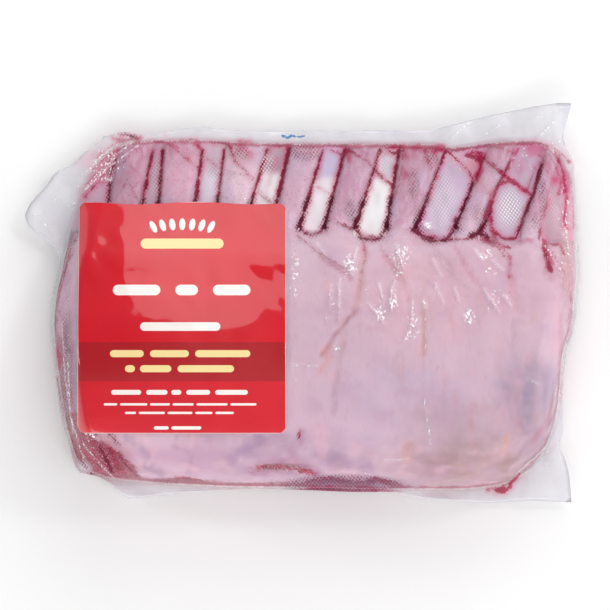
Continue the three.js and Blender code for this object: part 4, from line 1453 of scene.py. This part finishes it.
# Label
# Bars of print: centre line in Y, then (left end, right end) of each bar in X, and the bar's height
WHITE_PRINT = [
    (5.2, [(-76, -57), (-51, -42), (-36, -21)], 4.2),
    (-9.4, [(-65, -33)], 3.4),
    (-35.6, [(-76.5, -64.5), (-62.5, -54), (-52.5, -48.5), (-46.5, -37), (-35, -22)], 1.9),
    (-40.4, [(-79.5, -74), (-73, -62), (-61, -53), (-52, -43.5), (-42.5, -30), (-29, -18.5)], 0.9),
    (-43.8, [(-71, -66.5), (-65.5, -55), (-54, -44), (-43, -36), (-35, -27.5)], 0.9),
    (-49.8, [(-59.5, -53.5), (-52.5, -40.5)], 1.3),
]
CREAM_PRINT = [
    (23.8, [(-65, -31.8)], 4.0),
    (-20.2, [(-77, -63.5), (-61, -45.5), (-43, -21)], 2.8),
    (-26.2, [(-71, -67), (-65, -52.5), (-50, -27.5)], 2.8),
]
BAND = (-31.2, -15.6)
SPRIG_X = (-60.4, -56.4, -52.4, -48.4, -44.4, -40.4, -36.4)
SPRIG_Y = 31.6


def bar_depth(x, y, rows):
    """How far each point lies inside the nearest rounded bar of print."""
    depth = np.full(x.shape, FAR_OUTSIDE)
    for centre, bars, height in rows:
        for left, right in bars:
            near = np.clip(x, left + height / 2, right - height / 2)
            depth = np.maximum(depth, height / 2 - np.hypot(x - near, y - centre))
    return depth


def sprig_depth(x, y):
    """A row of small leaning leaves over the print."""
    depth = np.full(x.shape, FAR_OUTSIDE)
    for k, centre in enumerate(SPRIG_X):
        from_middle = k - (len(SPRIG_X) - 1) / 2
        lean = 0.4 * from_middle
        rise = -0.12 * from_middle ** 2
        u = x - centre - lean * (y - SPRIG_Y) / 3
        v = y - SPRIG_Y - rise
        depth = np.maximum(depth, 1.25 - np.hypot(u, v / 1.9))
    return depth


def label_rest(x, y):
    """The label's underside: on the fat, then straight from the fat to the ribs."""
    fat_end = fat_top(SPAN_START)
    rib_top = arch(SPAN_END) + RIB_THICKNESS
    straight = lerp(fat_end, rib_top, (y - SPAN_START) / (SPAN_END - SPAN_START))
    flat = lerp(fat_top(y), straight, smoothstep(SPAN_START - 3, SPAN_START + 3, y))
    on_fat = np.minimum(y, SPAN_START)
    swollen = flat + broad_lumps(x, on_fat) + lap(on_fat)
    return lerp(seam_height(x, y), swollen, top_rounding(x, y))


def make_label():
    half_length = LABEL_LENGTH / 2
    half_width = LABEL_WIDTH / 2
    straight = half_length - LABEL_CORNER
    turn = np.linspace(0, math.pi / 2, 9)[1:]
    corner_rows = straight + LABEL_CORNER * np.sin(turn)
    rows = np.concatenate([-corner_rows[::-1], np.linspace(-straight, straight, 176), corner_rows])
    past = np.maximum(0, np.abs(rows) - straight)
    inset = LABEL_CORNER - np.sqrt(np.maximum(0, LABEL_CORNER ** 2 - past ** 2))
    across = np.linspace(-1, 1, 169)
    x = LABEL_CENTRE[0] + (half_width - inset)[:, None] * across[None, :]
    y = LABEL_CENTRE[1] + np.repeat(rows[:, None], len(across), 1)
    y = y + 0.5 * smoothstep(20, 40, y) * (np.sin(x / 7.5 + 1) - 1)
    rest = label_rest(x, y) + LABEL_GAP
    cockle = 0.3 * noise(x, y, (13, 26), 71) + 0.14 * noise(x + y, y - x, 11, 72)
    cockle += 0.09 * noise(x + 0.5 * y, y, (5.5, 9), 73) * smoothstep(-8, 4, y)
    rest = rest + cockle + 0.3
    points, faces = solid_between(x, y, rest + LABEL_THICKNESS, rest)
    px, py = points[:, 0], points[:, 1]
    edge = np.minimum(half_width - np.abs(px - LABEL_CENTRE[0]), half_length - np.abs(py - LABEL_CENTRE[1]))
    attributes = {
        "white": np.maximum(bar_depth(px, py, WHITE_PRINT), sprig_depth(px, py)),
        "cream": bar_depth(px, py, CREAM_PRINT),
        "band": np.minimum(py - BAND[0], BAND[1] - py),
        "rim": np.clip(edge, 0, 5),
    }
    piece = new_piece("label_sheet", points, faces, label_material(), attributes)
    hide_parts("label")


# Studio
SENSOR_WIDTH = 36
VIEW_HEIGHT = 5.0
FRAME_WIDTH = 0.244
SUBJECT_HEIGHT = 0.03
FRAME_CENTRE = (0.0008, -0.0008)
FLOOR_REACH = 2.5
FLOOR_DROP = 0.0004
# Direction of the unlit corner of the studio
DARK_CORNER = (-0.497, 0.709, 0.5)


def make_camera():
    camera = bpy.data.cameras.new("camera")
    camera.sensor_width = SENSOR_WIDTH
    camera.lens = SENSOR_WIDTH * (VIEW_HEIGHT - SUBJECT_HEIGHT) / FRAME_WIDTH
    holder = bpy.data.objects.new("camera", camera)
    holder.location = (*FRAME_CENTRE, VIEW_HEIGHT)
    bpy.context.scene.collection.objects.link(holder)
    bpy.context.scene.camera = holder


def softbox(name, direction, distance, size, power):
    """A rectangular light that faces the middle of the pack."""
    light = bpy.data.lights.new(name, "AREA")
    light.shape = "RECTANGLE"
    light.size, light.size_y = size
    light.energy = power
    azimuth, elevation = (math.radians(a) for a in direction)
    holder = bpy.data.objects.new(name, light)
    flat = distance * math.cos(elevation)
    holder.location = (flat * math.cos(azimuth), flat * math.sin(azimuth), distance * math.sin(elevation))
    holder.rotation_euler = (math.pi / 2 - elevation, 0, azimuth + math.pi / 2)
    bpy.context.scene.collection.objects.link(holder)


def make_floor():
    n = Nodes("pale_floor")
    speck = n.noise(n.place(), 0.02, 2.0)
    pale = n.blend(speck, (0.95, 0.95, 0.95), (0.97, 0.97, 0.97))
    n.set(Base_Color=pale, Roughness=0.9, Specular_IOR_Level=0.1)
    mesh = bpy.data.meshes.new("floor")
    corners = [(FLOOR_REACH * x, FLOOR_REACH * y, 0) for x, y in ((-1, -1), (1, -1), (1, 1), (-1, 1))]
    mesh.from_pydata(corners, [], [(0, 1, 2, 3)])
    mesh.materials.append(n.material)
    floor = bpy.data.objects.new("floor", mesh)
    bpy.context.scene.collection.objects.link(floor)
    floor.location.z = -FLOOR_DROP


def world_ramp(tree, value, interpolation, from_min, from_max, to_min, to_max):
    node = tree.nodes.new("ShaderNodeMapRange")
    node.interpolation_type = interpolation
    node.inputs["From Min"].default_value = from_min
    node.inputs["From Max"].default_value = from_max
    node.inputs["To Min"].default_value = to_min
    node.inputs["To Max"].default_value = to_max
    tree.links.new(value, node.inputs["Value"])
    return node.outputs[0]


def world_product(tree, first, second):
    node = tree.nodes.new("ShaderNodeMath")
    node.operation = "MULTIPLY"
    tree.links.new(first, node.inputs[0])
    tree.links.new(second, node.inputs[1])
    return node.outputs[0]


def make_world():
    """A dome that is bright at the horizon, dimmer overhead, and darker in one corner and along one wall."""
    world = bpy.data.worlds.new("studio")
    bpy.context.scene.world = world
    world.use_nodes = True
    tree = world.node_tree
    direction = tree.nodes.new("ShaderNodeTexCoord").outputs["Generated"]
    split = tree.nodes.new("ShaderNodeSeparateXYZ")
    tree.links.new(direction, split.inputs[0])
    aim = tree.nodes.new("ShaderNodeVectorMath")
    aim.operation = "DOT_PRODUCT"
    aim.inputs[1].default_value = DARK_CORNER
    tree.links.new(direction, aim.inputs[0])
    overhead = world_ramp(tree, split.outputs["Z"], "LINEAR", 0.35, 0.95, 1.28, 0.55)
    corner = world_ramp(tree, aim.outputs["Value"], "SMOOTHSTEP", 0.55, 0.96, 1.0, 0.2)
    wall = world_ramp(tree, split.outputs["X"], "SMOOTHSTEP", -0.92, -0.6, 0.3, 1.0)
    strength = world_product(tree, world_product(tree, overhead, corner), wall)
    background = tree.nodes["Background"]
    tree.links.new(strength, background.inputs["Strength"])
    background.inputs["Color"].default_value = (1, 1, 1, 1)


def make_studio():
    make_floor()
    make_world()
    softbox("key", (77, 27), 1.1, (0.95, 0.76), 4.4)
    softbox("left_lamp", (160, 22), 1.2, (0.16, 0.16), 1.8)
    softbox("right_lamp", (36, 46), 1.2, (0.16, 0.16), 1.6)
    softbox("low_fill", (-90, 28), 1.6, (2.4, 1.0), 11.5)
    bpy.context.scene.view_settings.view_transform = "Standard"


make_camera()
make_studio()
film = make_film()
meat = make_meat()
ribs = make_ribs()
for piece in (film, meat, *ribs):
    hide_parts("bagged_rack")
make_label()
